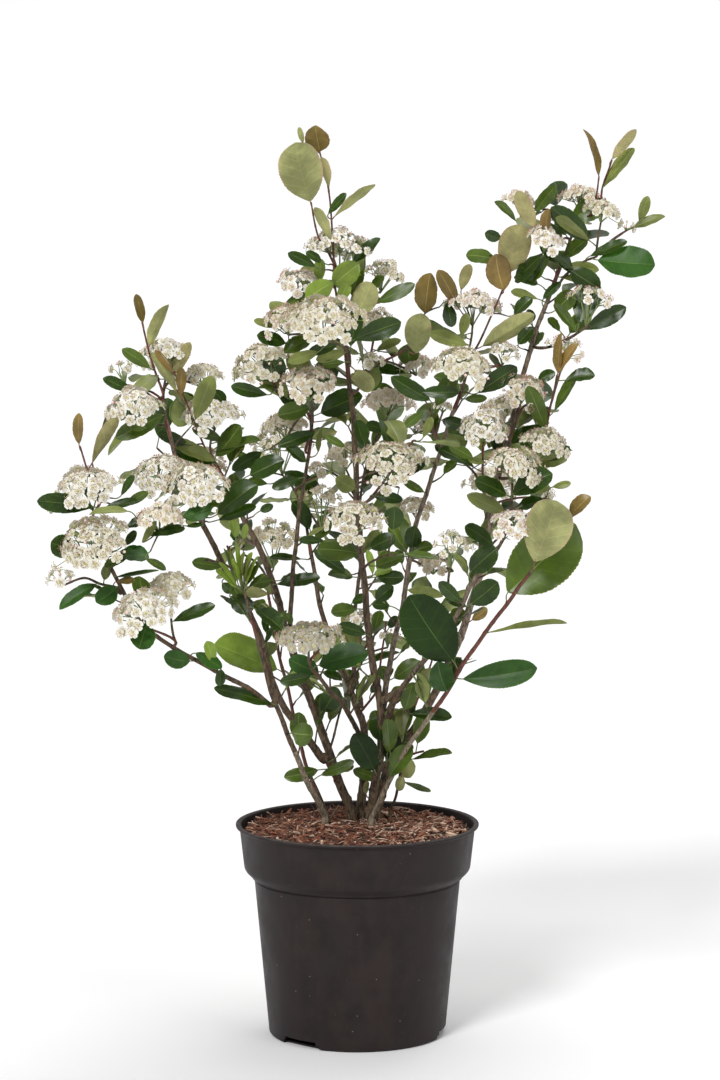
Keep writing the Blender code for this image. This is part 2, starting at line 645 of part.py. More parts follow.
def grow_leaves(grown, own_heads, obstacles, seeded):
    # A leaf that would touch a limb, another mass or another leaf turns on, and after a few turns is
    # left out.
    pieces = []
    room = obstacles + own_heads
    for kind, route, size in grown:
        turn = seeded.uniform(0, math.tau)
        for fraction, length, wide, lean in leaf_places(kind, route, size, seeded):
            place, along = point_along(route, fraction)
            across_twig = along.orthogonal().normalized()
            for _ in range(LEAF_TRIALS):
                turn += GOLDEN_TURN
                outward = Matrix.Rotation(turn, 3, along) @ across_twig
                heading = (along * math.cos(lean) + outward * math.sin(lean)).normalized()
                if kind != "leader" and lean > 0:
                    heading = (heading - UP * 0.25 * heading.z).normalized()
                roll = outward.cross(along) * seeded.uniform(-0.25, 0.25)
                face_up = (UP * 0.8 + along * 0.5 + outward * 0.05 + roll).normalized()
                if abs(face_up.dot(heading)) > 0.97:
                    face_up = outward
                root = place - heading * (ROOT * (0.1 + math.cos(lean) ** 3))
                mesh = leaf_mesh(root, heading, face_up, length, wide * length)
                if in_crown(mesh) and is_free(mesh, room, CLEAR):
                    pieces.append(mesh)
                    room.append(Solid(mesh))
                    break
                bpy.data.meshes.remove(mesh)
    return pieces


def keep_one_body(mesh):
    # Drops sealed hollows and loose scraps, so that only the largest body is left.
    shape = bmesh.new()
    shape.from_mesh(mesh)
    unseen = set(shape.verts)
    bodies = []
    while unseen:
        queue = [unseen.pop()]
        body = set(queue)
        while queue:
            for edge in queue.pop().link_edges:
                for vert in edge.verts:
                    if vert in unseen:
                        unseen.discard(vert)
                        body.add(vert)
                        queue.append(vert)
        bodies.append(body)
    largest = max(bodies, key=len)
    loose = [vert for vert in shape.verts if vert not in largest]
    bmesh.ops.delete(shape, geom=loose, context="VERTS")
    shape.to_mesh(mesh)
    shape.free()


def fuse(name, pieces, material):
    # One Boolean union joins the twigs, leaves and heads of a mass.
    for number, mesh in enumerate(pieces[1:]):
        add_object(f"{name}_piece_{number}", mesh, mass_pieces)
    body = add_object(name, pieces[0], parts)
    union = body.modifiers.new("union", "BOOLEAN")
    union.operation = "UNION"
    union.operand_type = "COLLECTION"
    union.collection = mass_pieces
    union.solver = "EXACT"
    graph = bpy.context.evaluated_depsgraph_get()
    mesh = bpy.data.meshes.new_from_object(body.evaluated_get(graph))
    body.modifiers.remove(union)
    body.data = mesh
    for piece in list(mass_pieces.objects):
        bpy.data.objects.remove(piece)
    for old in pieces:
        bpy.data.meshes.remove(old)
    keep_one_body(mesh)
    mesh.name = name
    mesh.materials.clear()
    mesh.materials.append(material)


def make_foliage(limbs, fixed):
    # Heads have set places and come first, then the twigs that reach them, and leaves fill the room left.
    green = make_material("leaf_green", LEAF_GREEN)
    seeded = {name: random.Random(f"{SEED} {name}") for name in MASSES}
    pieces = {name: [] for name in MASSES}
    taken = {name: [] for name in MASSES}
    grown = {}

    def others(name):
        return fixed + [solid for other in MASSES if other != name for solid in taken[other]]

    def keep(name, meshes):
        pieces[name] += meshes
        taken[name] += [Solid(mesh) for mesh in meshes]

    middles = {}
    heads = {}
    for name in MASSES:
        meshes, middles[name] = place_heads(name, others(name), seeded[name])
        heads[name] = [Solid(mesh) for mesh in meshes]
        keep(name, meshes)
    for name in MASSES:
        meshes, grown[name] = grow_twigs(name, limbs, middles[name], others(name), seeded[name])
        keep(name, meshes)
    for name in MASSES:
        keep(name, grow_leaves(grown[name], heads[name], others(name), seeded[name]))
    for name in MASSES:
        fuse(name, pieces[name], green)


clear_scene()
parts = make_collection("potted_black_chokeberry")
cutters = make_collection("cutters")
guides = make_collection("guides")
mass_pieces = make_collection("mass_pieces")
triangle = twig_section()
limbs = make_limbs(make_material("bark_brown", BARK_BROWN))
make_foliage(limbs, [Solid(made.data) for made in parts.objects])
make_pot()
make_mix()
for helper in (guides, mass_pieces):
    helper.hide_render = True
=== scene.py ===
import math
import random

import bmesh
import bpy
import numpy as np
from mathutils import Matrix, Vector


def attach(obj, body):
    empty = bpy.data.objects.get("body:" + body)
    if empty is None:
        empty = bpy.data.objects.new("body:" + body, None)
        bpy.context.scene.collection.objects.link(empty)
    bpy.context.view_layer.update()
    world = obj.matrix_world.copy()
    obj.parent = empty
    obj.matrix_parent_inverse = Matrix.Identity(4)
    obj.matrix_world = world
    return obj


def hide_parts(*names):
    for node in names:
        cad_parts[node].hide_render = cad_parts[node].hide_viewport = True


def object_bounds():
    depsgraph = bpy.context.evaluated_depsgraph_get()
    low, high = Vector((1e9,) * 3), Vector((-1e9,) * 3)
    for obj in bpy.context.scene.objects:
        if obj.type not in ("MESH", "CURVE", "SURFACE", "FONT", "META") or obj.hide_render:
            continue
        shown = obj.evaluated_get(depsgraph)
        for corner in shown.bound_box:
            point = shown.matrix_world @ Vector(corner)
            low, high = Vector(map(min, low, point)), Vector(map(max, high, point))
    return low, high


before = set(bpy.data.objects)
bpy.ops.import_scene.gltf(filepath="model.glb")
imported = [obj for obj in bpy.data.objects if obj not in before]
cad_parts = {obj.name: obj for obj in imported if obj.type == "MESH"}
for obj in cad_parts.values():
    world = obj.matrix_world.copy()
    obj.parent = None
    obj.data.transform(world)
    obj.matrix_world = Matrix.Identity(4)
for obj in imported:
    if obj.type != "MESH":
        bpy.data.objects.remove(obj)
cadBox = [list(corner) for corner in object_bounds()]
foliageNodes = sorted(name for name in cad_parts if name.startswith("foliage_"))
up = np.array([0.0, 0.0, 1.0])
goldenTurn = math.radians(137.5)


# Camera: level with the crown and looking a little down, as the photo was taken

cameraValues = {
    "place": (0.0028, -3.4203, 0.87432),
    "tiltDown": math.radians(6.13),
    "focalPixels": 3400.0,  # focal length in pixels of the photo
    "photoSize": (720, 1080),
    "sensor": 36.0,
}
eye = np.array(cameraValues["place"])
focal = cameraValues["focalPixels"]
photoMiddle = np.array(cameraValues["photoSize"]) / 2
cosTilt, sinTilt = math.cos(cameraValues["tiltDown"]), math.sin(cameraValues["tiltDown"])


def makeCamera():
    data = bpy.data.cameras.new("studioCamera")
    data.sensor_width = cameraValues["sensor"]
    data.lens = focal / cameraValues["photoSize"][1] * cameraValues["sensor"]
    camera = bpy.data.objects.new("studioCamera", data)
    camera.location = cameraValues["place"]
    camera.rotation_euler = (math.pi / 2 - cameraValues["tiltDown"], 0.0, 0.0)
    bpy.context.scene.collection.objects.link(camera)
    bpy.context.scene.camera = camera


def spot(px, py, depth):
    # The point at a pixel of the photo that lies a depth behind the middle of the pot.
    right, down = (np.array([px, py]) - photoMiddle) / focal
    ray = np.array([right, cosTilt - down * sinTilt, -sinTilt - down * cosTilt])
    return eye + ray * (depth - eye[1]) / ray[1]


def toPixels(points):
    # Where points show in the photo.
    away = np.asarray(points) - eye
    reach = away[..., 1] * cosTilt - away[..., 2] * sinTilt
    down = -away[..., 1] * sinTilt - away[..., 2] * cosTilt
    return photoMiddle + focal * np.stack([away[..., 0], down], axis=-1) / reach[..., None]


makeCamera()
print("camera set")


# Meshes made from arrays. A part is its points and a list of (faces, slot or slots), whose faces count
# from the part's first point.

def makePiece(name, parts, materials, slotName, nodes, sharpAngle=None):
    points, faces, slots, count = [], [], [], 0
    for own, groups in parts:
        points.append(np.asarray(own, float).reshape(-1, 3))
        for group, given in groups:
            faces.append(np.asarray(group) + count)
            slots.append(np.full(len(group), given) if np.isscalar(given) else np.asarray(given))
        count += len(points[-1])
    corners = np.concatenate([group.ravel() for group in faces]).astype(np.int32)
    sizes = np.concatenate([np.full(len(group), group.shape[1]) for group in faces])
    mesh = bpy.data.meshes.new(name)
    mesh.vertices.add(count)
    mesh.vertices.foreach_set("co", np.concatenate(points).astype(np.float32).ravel())
    mesh.loops.add(len(corners))
    mesh.loops.foreach_set("vertex_index", corners)
    mesh.polygons.add(len(sizes))
    mesh.polygons.foreach_set("loop_start", (np.cumsum(sizes) - sizes).astype(np.int32))
    for material in materials:
        mesh.materials.append(material)
    mesh.polygons.foreach_set("material_index", np.concatenate(slots).astype(np.int32))
    mesh.polygons.foreach_set("use_smooth", np.ones(len(sizes), bool))
    mesh.update(calc_edges=True)
    mesh.validate()
    if sharpAngle is not None:
        mesh.set_sharp_from_angle(angle=math.radians(sharpAngle))
    piece = bpy.data.objects.new(name, mesh)
    bpy.context.scene.collection.objects.link(piece)
    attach(piece, "root")
    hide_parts(*nodes)
    print(f"  {name}: {int((sizes - 2).sum())} triangles")
    return piece


def unit(vectors):
    vectors = np.asarray(vectors, float)
    return vectors / np.maximum(np.linalg.norm(vectors, axis=-1, keepdims=True), 1e-12)


def turnsOf(count):
    return np.arange(count) * math.tau / count


def gridFaces(rows, columns, closed=False):
    # Quads between rows of points, each row closed to a ring or open.
    row, column = np.meshgrid(np.arange(rows - 1), np.arange(columns if closed else columns - 1),
                              indexing="ij")
    first, after = row * columns + column, row * columns + (column + 1) % columns
    return np.stack([first, after, after + columns, first + columns], axis=-1).reshape(-1, 4)


def capFaces(rings, sides):
    # The fans that close a tube, whose middles are the two points after its rings.
    corner = np.arange(sides)
    after = (corner + 1) % sides
    last = (rings - 1) * sides
    foot = np.stack([np.full(sides, rings * sides), after, corner], axis=1)
    tip = np.stack([np.full(sides, rings * sides + 1), last + corner, last + after], axis=1)
    return np.concatenate([foot, tip])


def bend(starts, knees, ends, t):
    return starts * (1 - t) ** 2 + knees * (2 * t * (1 - t)) + ends * t ** 2


def sweep(route, radii):
    # A closed tube along a route, with a radius for each ring and side.
    turn = turnsOf(radii.shape[1])[:, None]
    headings = unit(np.gradient(route, axis=0))
    side = np.cross(headings[0], [0.31, 0.94, 0.12])
    rings = []
    for heading, place, reach in zip(headings, route, radii):
        side = unit(side - heading * np.dot(side, heading))
        rings.append(place + reach[:, None] * (np.cos(turn) * side + np.sin(turn) * np.cross(heading, side)))
    return (np.concatenate([*rings, route[:1], route[-1:]]), gridFaces(*radii.shape, closed=True),
            capFaces(*radii.shape))


def stalks(starts, knees, ends, footRadius, tipRadius, sides, rings, slot=0):
    # A part of many bent stalks, with one radius for all of them or one for each.
    starts, knees, ends = (np.asarray(group, float) for group in (starts, knees, ends))
    t = np.linspace(0, 1, rings)
    routes = bend(starts[:, None], knees[:, None], ends[:, None], t[None, :, None])
    along = unit(np.gradient(routes, axis=1))
    isUpright = np.abs(unit(ends - starts)[:, 2:]) > 0.8
    lean = np.where(isUpright, [[1.0, 0.2, 0.0]], [[0.0, 0.1, 1.0]])
    side = unit(np.cross(along, lean[:, None]))
    foot, tip = (np.full(len(starts), radius)[:, None] for radius in (footRadius, tipRadius))
    radii = foot * (1 - t) + tip * t
    turn = turnsOf(sides)[None, None, :, None]
    rims = routes[:, :, None] + radii[:, :, None, None] * (
        np.cos(turn) * side[:, :, None] + np.sin(turn) * np.cross(along, side)[:, :, None])
    points = np.concatenate([rims.reshape(len(starts), -1, 3), starts[:, None], ends[:, None]], axis=1)
    steps = np.arange(len(starts))[:, None, None] * points.shape[1]
    return points, [((steps + gridFaces(rings, sides, closed=True)).reshape(-1, 4), slot),
                    ((steps + capFaces(rings, sides)).reshape(-1, 3), slot)]


def copies(template, groups, places, axes, sizes):
    # A part of copies of a template, each with its own place, three axes and size along each of them.
    sized = template[None] * np.asarray(sizes, float)[:, None, :]
    points = np.asarray(places)[:, None]
    for number, axis in enumerate(axes):
        points = points + sized[..., number:number + 1] * np.asarray(axis)[:, None]
    steps = np.arange(len(places))[:, None, None] * len(template)
    return points, [((steps + faces).reshape(-1, faces.shape[1]), slots) for faces, slots in groups]


def ballShape(radius):
    made = bmesh.new()
    bmesh.ops.create_icosphere(made, subdivisions=1, radius=radius)
    return unpacked(made)


def unpacked(made):
    points = np.array([vert.co for vert in made.verts])
    faces = np.array([[vert.index for vert in face.verts] for face in made.faces])
    made.free()
    return points, faces


# Shader node groups that the materials share

def addNode(tree, kind, links=None, **settings):
    # links gives inputs, by name or number, an output socket or a value.
    node = tree.nodes.new(kind)
    for setting, value in settings.items():
        setattr(node, setting, value)
    for key, source in (links or {}).items():
        if isinstance(source, bpy.types.NodeSocket):
            tree.links.new(source, node.inputs[key])
        else:
            node.inputs[key].default_value = source
    return node


def newGroup(name, outputs, inputs):
    # outputs gives how many values each has. Every group reads the place on the piece, times Stretch.
    group = bpy.data.node_groups.new(name, "ShaderNodeTree")
    kinds = {1: "NodeSocketFloat", 3: "NodeSocketVector", 4: "NodeSocketColor"}
    for label, value in {**inputs, "Stretch": (1, 1, 1)}.items():
        socket = group.interface.new_socket(name=label, in_out="INPUT", socket_type=kinds[np.size(value)])
        socket.default_value = value
    for label, count in outputs.items():
        group.interface.new_socket(name=label, in_out="OUTPUT", socket_type=kinds[count])
    given, out = group.nodes.new("NodeGroupInput"), group.nodes.new("NodeGroupOutput")
    place = addNode(group, "ShaderNodeTexCoord")
    stretched = addNode(group, "ShaderNodeVectorMath", {
        0: place.outputs["Object"], 1: given.outputs["Stretch"]}, operation="MULTIPLY")
    return group, given.outputs, out.inputs, stretched.outputs[0]


def makeNoiseTone():
    # Breaks a colour up into darker and lighter patches.
    group, given, out, place = newGroup("noiseTone", {"Colour": 4, "Mask": 1}, {
        "Colour": (0.5, 0.5, 0.5, 1), "Darker": 0.8, "Lighter": 1.2, "Scale": 100.0, "Detail": 4.0})
    noise = addNode(group, "ShaderNodeTexNoise", {
        "Vector": place, "Scale": given["Scale"], "Detail": given["Detail"], "Roughness": 0.6})
    mask = addNode(group, "ShaderNodeMapRange", {
        "Value": noise.outputs["Fac"], "From Min": 0.32, "From Max": 0.68}, interpolation_type="SMOOTHSTEP")
    tone = addNode(group, "ShaderNodeMapRange", {
        "Value": mask.outputs["Result"], "To Min": given["Darker"], "To Max": given["Lighter"]})
    scaled = addNode(group, "ShaderNodeVectorMath", {
        0: given["Colour"], 1: tone.outputs["Result"]}, operation="MULTIPLY")
    group.links.new(scaled.outputs[0], out["Colour"])
    group.links.new(mask.outputs["Result"], out["Mask"])
    return group


def makeSpecks():
    # Small round marks strewn over the surface.
    group, given, out, place = newGroup("specks", {"Mask": 1}, {"Scale": 300.0, "Size": 0.2, "Share": 0.3})
    cells = addNode(group, "ShaderNodeTexVoronoi", {"Vector": place, "Scale": given["Scale"]})
    picked = addNode(group, "ShaderNodeSeparateColor", {"Color": cells.outputs["Color"]})
    inside = addNode(group, "ShaderNodeMath", {
        0: cells.outputs["Distance"], 1: given["Size"]}, operation="LESS_THAN")
    chosen = addNode(group, "ShaderNodeMath", {
        0: picked.outputs[0], 1: given["Share"]}, operation="LESS_THAN")
    both = addNode(group, "ShaderNodeMath", {
        0: inside.outputs[0], 1: chosen.outputs[0]}, operation="MULTIPLY")
    group.links.new(both.outputs[0], out["Mask"])
    return group


def makeGrain():
    # Fine relief, round or stretched, as a normal.
    group, given, out, place = newGroup("grain", {"Normal": 3, "Height": 1}, {
        "Scale": 600.0, "Strength": 0.2, "Depth": 0.0003})
    noise = addNode(group, "ShaderNodeTexNoise", {
        "Vector": place, "Scale": given["Scale"], "Detail": 5.0, "Roughness": 0.6})
    bump = addNode(group, "ShaderNodeBump", {
        "Strength": given["Strength"], "Distance": given["Depth"], "Height": noise.outputs["Fac"]})
    group.links.new(bump.outputs["Normal"], out["Normal"])
    group.links.new(noise.outputs["Fac"], out["Height"])
    return group


noiseTone = makeNoiseTone()
specks = makeSpecks()
grain = makeGrain()


def placeGroup(tree, group, **values):
    return addNode(tree, "ShaderNodeGroup", values, node_tree=group)


def newMaterial(name, colour, roughness, **sockets):
    # A plain shader; sockets are its other constant values, with underscores for spaces.
    material = bpy.data.materials.new(name)
    material.use_nodes = True
    tree = material.node_tree
    shader = tree.nodes["Principled BSDF"]
    shader.inputs["Base Color"].default_value = (*colour, 1.0)
    shader.inputs["Roughness"].default_value = roughness
    for label, value in sockets.items():
        shader.inputs[label.replace("_", " ")].default_value = value
    return material, tree, shader


def mixColours(tree, mask, first, second):
    if not isinstance(second, bpy.types.NodeSocket):
        second = (*second, 1.0)
    mix = addNode(tree, "ShaderNodeMix", {"Factor": mask, "A": first, "B": second}, data_type="RGBA")
    return mix.outputs["Result"]


def addRelief(tree, shader, **values):
    tree.links.new(placeGroup(tree, grain, **values).outputs["Normal"], shader.inputs["Normal"])


def toned(name, colour, roughness, tone, relief, **sockets):
    # A material whose colour is broken up by noiseTone and whose surface has grain.
    material, tree, shader = newMaterial(name, colour, roughness, **sockets)
    patches = placeGroup(tree, noiseTone, Colour=(*colour, 1.0), **tone)
    tree.links.new(patches.outputs["Colour"], shader.inputs["Base Color"])
    addRelief(tree, shader, **relief)
    return material


# Limbs: the same stems and boughs as the solids, as smooth curves

limbValues = {
    "stems": {  # foot (x, y), knees and tip, radius at the foot and at the tip
        "stem_left": ((-0.006, 0.022), [
            (-0.034, 0.004, 0.303), (-0.068, 0.005, 0.4), (-0.093, 0.03, 0.48),
            (-0.12, 0.045, 0.532), (-0.147, 0.06, 0.582)], 0.0051, 0.0021),
        "stem_left_front": ((-0.033, 0.004), [
            (-0.06, -0.04, 0.289), (-0.0825, -0.078, 0.357), (-0.104, -0.1, 0.44)], 0.0034, 0.002),
        "stem_left_back": ((-0.034, 0.035), [
            (-0.056, 0.05, 0.28), (-0.076, 0.07, 0.36), (-0.092, 0.095, 0.435)], 0.0023, 0.0015),
        "stem_middle": ((0.003, 0.036), [
            (0.008, 0.03, 0.3), (-0.002, 0.048, 0.332), (-0.022, 0.078, 0.376),
            (-0.041, 0.105, 0.438), (-0.052, 0.12, 0.5)], 0.005, 0.0018),
        "stem_centre": ((0.012, 0.012), [
            (0.025, -0.006, 0.305), (0.014, -0.012, 0.397), (0.003, -0.012, 0.5),
            (-0.001, -0.012, 0.569), (-0.006, 0.0, 0.654), (-0.012, 0.0, 0.7)], 0.0046, 0.0022),
        "stem_right": ((0.02, 0.029), [
            (0.036, 0.026, 0.282), (0.067, 0.034, 0.32), (0.105, 0.045, 0.401), (0.125, 0.055, 0.46),
            (0.137, 0.06, 0.525), (0.156, 0.06, 0.614), (0.171, 0.06, 0.674), (0.191, 0.06, 0.739),
            (0.211, 0.06, 0.79)], 0.0053, 0.0019),
        "stem_right_front": ((0.014, -0.004), [
            (0.052, -0.042, 0.303), (0.087, -0.075, 0.36), (0.124, -0.104, 0.424),
            (0.168, -0.142, 0.49)], 0.0027, 0.0018),
        "stem_foot": ((0.034, 0.034), [(0.041, 0.03, 0.24), (0.044, 0.02, 0.266)], 0.0016, 0.0012),
    },
    "boughs": {  # the limb that carries it, the height where it leaves, then as for a stem
        "bough_left_front": ("stem_left", 0.285, [
            (-0.058, -0.018, 0.316), (-0.08, -0.04, 0.356), (-0.1, -0.06, 0.423),
            (-0.129, -0.072, 0.484), (-0.155, -0.075, 0.535), (-0.178, -0.04, 0.584),
            (-0.193, 0.01, 0.628)], 0.0042, 0.002),
        "bough_left_inner": ("stem_left", 0.368, [
            (-0.066, -0.022, 0.41), (-0.065, 0.0, 0.48), (-0.058, 0.028, 0.534),
            (-0.048, 0.04, 0.6)], 0.0027, 0.0018),
        "bough_left_low": ("stem_left_front", 0.352, [
            (-0.11, -0.091, 0.371), (-0.148, -0.11, 0.394), (-0.204, -0.13, 0.433),
            (-0.236, -0.13, 0.486), (-0.25, -0.122, 0.515)], 0.0026, 0.0018),
        "bough_front": ("stem_middle", 0.296, [
            (-0.014, -0.03, 0.342), (-0.03, -0.075, 0.368), (-0.043, -0.125, 0.392)], 0.0028, 0.0018),
        "bough_back": ("stem_middle", 0.33, [
            (-0.004, 0.085, 0.366), (-0.004, 0.125, 0.405), (0.001, 0.165, 0.445),
            (0.004, 0.185, 0.482)], 0.0026, 0.0017),
        "bough_right_inner": ("stem_centre", 0.335, [
            (0.033, 0.022, 0.374), (0.046, 0.038, 0.436), (0.061, 0.048, 0.517), (0.083, 0.048, 0.588),
            (0.106, 0.04, 0.655)], 0.0033, 0.0019),
        "bough_right_low": ("stem_centre", 0.322, [
            (0.04, -0.036, 0.354), (0.066, -0.06, 0.391), (0.095, -0.075, 0.435),
            (0.117, -0.085, 0.478), (0.137, -0.09, 0.506)], 0.0033, 0.0019),
    },
    "mixTop": 0.2113,
    "flareHeight": 0.012,
    "elbow": 1.3,  # a bough runs square to its limb for this many of its radii
    "sideGap": 0.0004,
    "taperPower": 0.8,
    "spanSteps": 10,
}


def smoothRoute(points, steps):
    # A Catmull-Rom curve through the points.
    points = np.asarray(points, float)
    padded = np.concatenate([[2 * points[0] - points[1]], points, [2 * points[-1] - points[-2]]])
    t = (np.arange(1, steps + 1) / steps)[:, None]
    spans = [points[:1]]
    for a, b, c, d in zip(padded, padded[1:], padded[2:], padded[3:]):
        spans.append(0.5 * (2 * b + (c - a) * t + (2 * a - 5 * b + 4 * c - d) * t * t
                            + (3 * b - a - 3 * c + d) * t ** 3))
    return np.concatenate(spans)


def lengthsAlong(route):
    return np.concatenate([[0.0], np.cumsum(np.linalg.norm(np.diff(route, axis=0), axis=1))])


def evenly(route, radii, step):
    # The same route with its rings a step apart.
    total = lengthsAlong(route)
    places = np.linspace(0, total[-1], max(3, int(total[-1] / step) + 1))
    even = np.stack([np.interp(places, total, route[:, axis]) for axis in range(3)], axis=1)
    return even, np.interp(places, total, radii), places


def pointAlong(route, fraction):
    total = lengthsAlong(route)
    wanted = fraction * total[-1]
    number = min(int(np.searchsorted(total, wanted, side="right")), len(route) - 1)
    heading = unit(route[number] - route[number - 1])
    return route[number - 1] + heading * (wanted - total[number - 1]), heading


def pointAtHeight(limb, height):
    route, radii = limb
    number = next(n for n in range(len(route) - 1) if route[n][2] <= height <= route[n + 1][2])
    low, high = route[number], route[number + 1]
    t = (height - low[2]) / (high[2] - low[2])
    return low + (high - low) * t, unit(high - low), radii[number] * (1 - t) + radii[number + 1] * t


def taper(count, foot, tip):
    return foot + (tip - foot) * (np.arange(count) / (count - 1)) ** limbValues["taperPower"]


def leaveLimb(limb, height, toward):
    # Where a shoot leaves a limb: square to its side, or straight on from its tip.
    if height is None:
        return limb[0][-1], unit(limb[0][-1] - limb[0][-2])
    place, along, thick = pointAtHeight(limb, height)
    outward = toward - place
    outward = unit(outward - along * np.dot(outward, along))
    return place + outward * (thick + limbValues["sideGap"]), outward


def growLimbs():
    limbs = {}
    for name, (place, *height, knees, foot, tip) in {**limbValues["stems"], **limbValues["boughs"]}.items():
        if height:
            start, outward = leaveLimb(limbs[place], height[0], np.array(knees[0]))
            start = start + outward * (limbValues["elbow"] * foot)
        else:
            start = np.array([*place, limbValues["mixTop"]]) + up * limbValues["flareHeight"]
        route = smoothRoute([start, *knees], limbValues["spanSteps"])
        limbs[name] = (route, taper(len(route), foot, tip))
    return limbs


limbs = growLimbs()
print("limbs routed")


# Bark over each limb

barkValues = {
    "looks": {  # colour, roughness, the darker and the lighter streaks
        "barkGrey": ((0.072, 0.049, 0.028), 0.8, 0.3, 2.4),
        "barkBrown": ((0.062, 0.038, 0.02), 0.7, 0.32, 2.2),
        "barkRed": ((0.098, 0.026, 0.014), 0.5, 0.55, 1.55),
        "barkPale": ((0.195, 0.155, 0.106), 0.75, 0.45, 1.6),
        # The last look is a paler copy of the brown bark for the limbs on the lit side: painted light.
        "barkPaintedLit": ((0.128, 0.094, 0.066), 0.7, 0.36, 1.9)},
    "poreTone": 2.6,  # how much paler the pores are
    "ringStep": 0.0023,
    "sides": (18, 14),  # round a stout limb and round a thin one
    "stout": 0.0035,
    "sunk": 0.007,  # how deep a stem starts inside the mulch
    "footSpread": 1.15,
    "waves": ((0.045, 5, 0.031), (0.027, 7, 0.019), (0.05, 2, 0.013), (0.03, 1, 0.0071)),
    "node": 0.2,  # swelling, a share of the radius like the height of the waves
    "nodeLength": 0.002,
    "nodeGaps": (0.016, 0.034),
    "wander": 0.0007,
    "greyShare": 0.3,  # of a stout limb's length, from its foot
    "redShare": 0.94,
    "redLimbs": {"stem_right_front": 0.3, "stem_left_back": 0.16},
    "paleLimbs": {"stem_left_front": 0.42, "stem_right_front": 0.46},
    # On these limbs, above this share of their length, brown bark takes the paler copy: painted light.
    "paintedLitLimbs": {"bough_right_inner": 0.0, "stem_right": 0.24, "bough_right_low": 0.35},
}


def makeBarkMaterials():
    made = []
    for name, (colour, roughness, darker, lighter) in barkValues["looks"].items():
        material, tree, shader = newMaterial(name, colour, roughness)
        streaks = placeGroup(tree, noiseTone, Colour=(*colour, 1.0), Darker=darker, Lighter=lighter,
                             Scale=420.0, Stretch=(1.0, 1.0, 0.28))
        pores = placeGroup(tree, specks, Scale=520.0, Size=0.26, Share=0.3, Stretch=(1.0, 1.0, 0.55))
        pale = tuple(min(1.0, value * barkValues["poreTone"]) for value in colour)
        tree.links.new(mixColours(tree, pores.outputs["Mask"], streaks.outputs["Colour"], pale),
                       shader.inputs["Base Color"])
        addRelief(tree, shader, Scale=700.0, Strength=0.55, Depth=0.0004, Stretch=(1.0, 1.0, 0.3))
        made.append(material)
    return made


def barkRelief(places, radii, sides, seeded):
    # Radii round each ring: furrows, lumps and a swelling at each node.
    turn = turnsOf(sides)
    around = np.ones((len(places), sides))
    for strength, waves, pitch in barkValues["waves"]:
        phase = seeded.uniform(0, math.tau)
        twist = seeded.uniform(-25, 25)
        ebb = np.sin(places / pitch * math.tau + seeded.uniform(0, math.tau))
        around += strength * np.sin(waves * turn[None] + phase + twist * places[:, None]) * (
            0.55 + 0.45 * ebb[:, None])
    place = seeded.uniform(0.01, 0.02)
    side = seeded.uniform(0, math.tau)
    while place < places[-1]:
        near = np.exp(-((places - place) / barkValues["nodeLength"]) ** 2)
        around += barkValues["node"] * near[:, None] * (0.45 + 0.55 * np.cos(turn[None] - side))
        place += seeded.uniform(*barkValues["nodeGaps"])
        side += goldenTurn
    return radii[:, None] * around


def wander(route, places, amount, seeded):
    # A slight zigzag, none at the ends.
    fade = np.clip(np.minimum(places, places[-1] - places) / 0.02, 0, 1)[:, None]
    waves = [seeded.uniform(0, math.tau) for _ in range(4)]
    sway = np.stack([np.sin(places / 0.021 + waves[0]) + 0.6 * np.sin(places / 0.0093 + waves[1]),
                     np.sin(places / 0.024 + waves[2]) + 0.6 * np.sin(places / 0.0101 + waves[3]),
                     np.zeros(len(places))], axis=1)
    return route + sway * fade * amount


def makeBark():
    materials = makeBarkMaterials()
    grey, brown, red, pale, light = range(5)
    for name, (route, radii) in limbs.items():
        seeded = random.Random(f"bark {name}")
        isStout, isStem = radii[0] > barkValues["stout"], name in limbValues["stems"]
        if isStem:
            foot = route[0] - up * limbValues["flareHeight"]
            spread = radii[0] * barkValues["footSpread"]
            route = np.concatenate([[foot - up * barkValues["sunk"], foot], route])
            radii = np.concatenate([[spread * 1.05, spread], radii])
        else:
            parent, height = limbValues["boughs"][name][:2]
            heart = pointAtHeight(limbs[parent], height)[0]
            route = np.concatenate([[heart * 0.7 + route[0] * 0.3], route])
            radii = np.concatenate([[radii[0] * 1.3], radii])
        route, radii, places = evenly(route, radii, barkValues["ringStep"])
        route = wander(route, places, barkValues["wander"], seeded)
        around = barkRelief(places, radii, barkValues["sides"][0 if isStout else 1], seeded)
        around[-1] *= 0.6
        points, quads, caps = sweep(route, around)
        share = np.repeat(places[:-1] / places[-1], around.shape[1])
        slots = np.where(share > barkValues["redLimbs"].get(name, barkValues["redShare"]), red, brown)
        if isStout and isStem:
            slots = np.where(share < barkValues["greyShare"], grey, slots)
        slots = np.where(share < barkValues["paleLimbs"].get(name, 0.0), pale, slots)
        # Brown bark on the lit limbs takes the paler copy: painted light.
        isPaintedLit = (share > barkValues["paintedLitLimbs"].get(name, 1.0)) & (slots == brown)
        slots = np.where(isPaintedLit, light, slots)
        first, *words = name.split("_")
        makePiece(first + "".join(word.capitalize() for word in words) + "Bark",
                  [(points, [(quads, slots), (caps, int(slots[0]))])], materials, "bark", [name])
    return materials


barkMaterials = makeBark()
print("bark made")


# Crown: the twigs that branch from each limb by the source's rule, and the finer ones that they carry

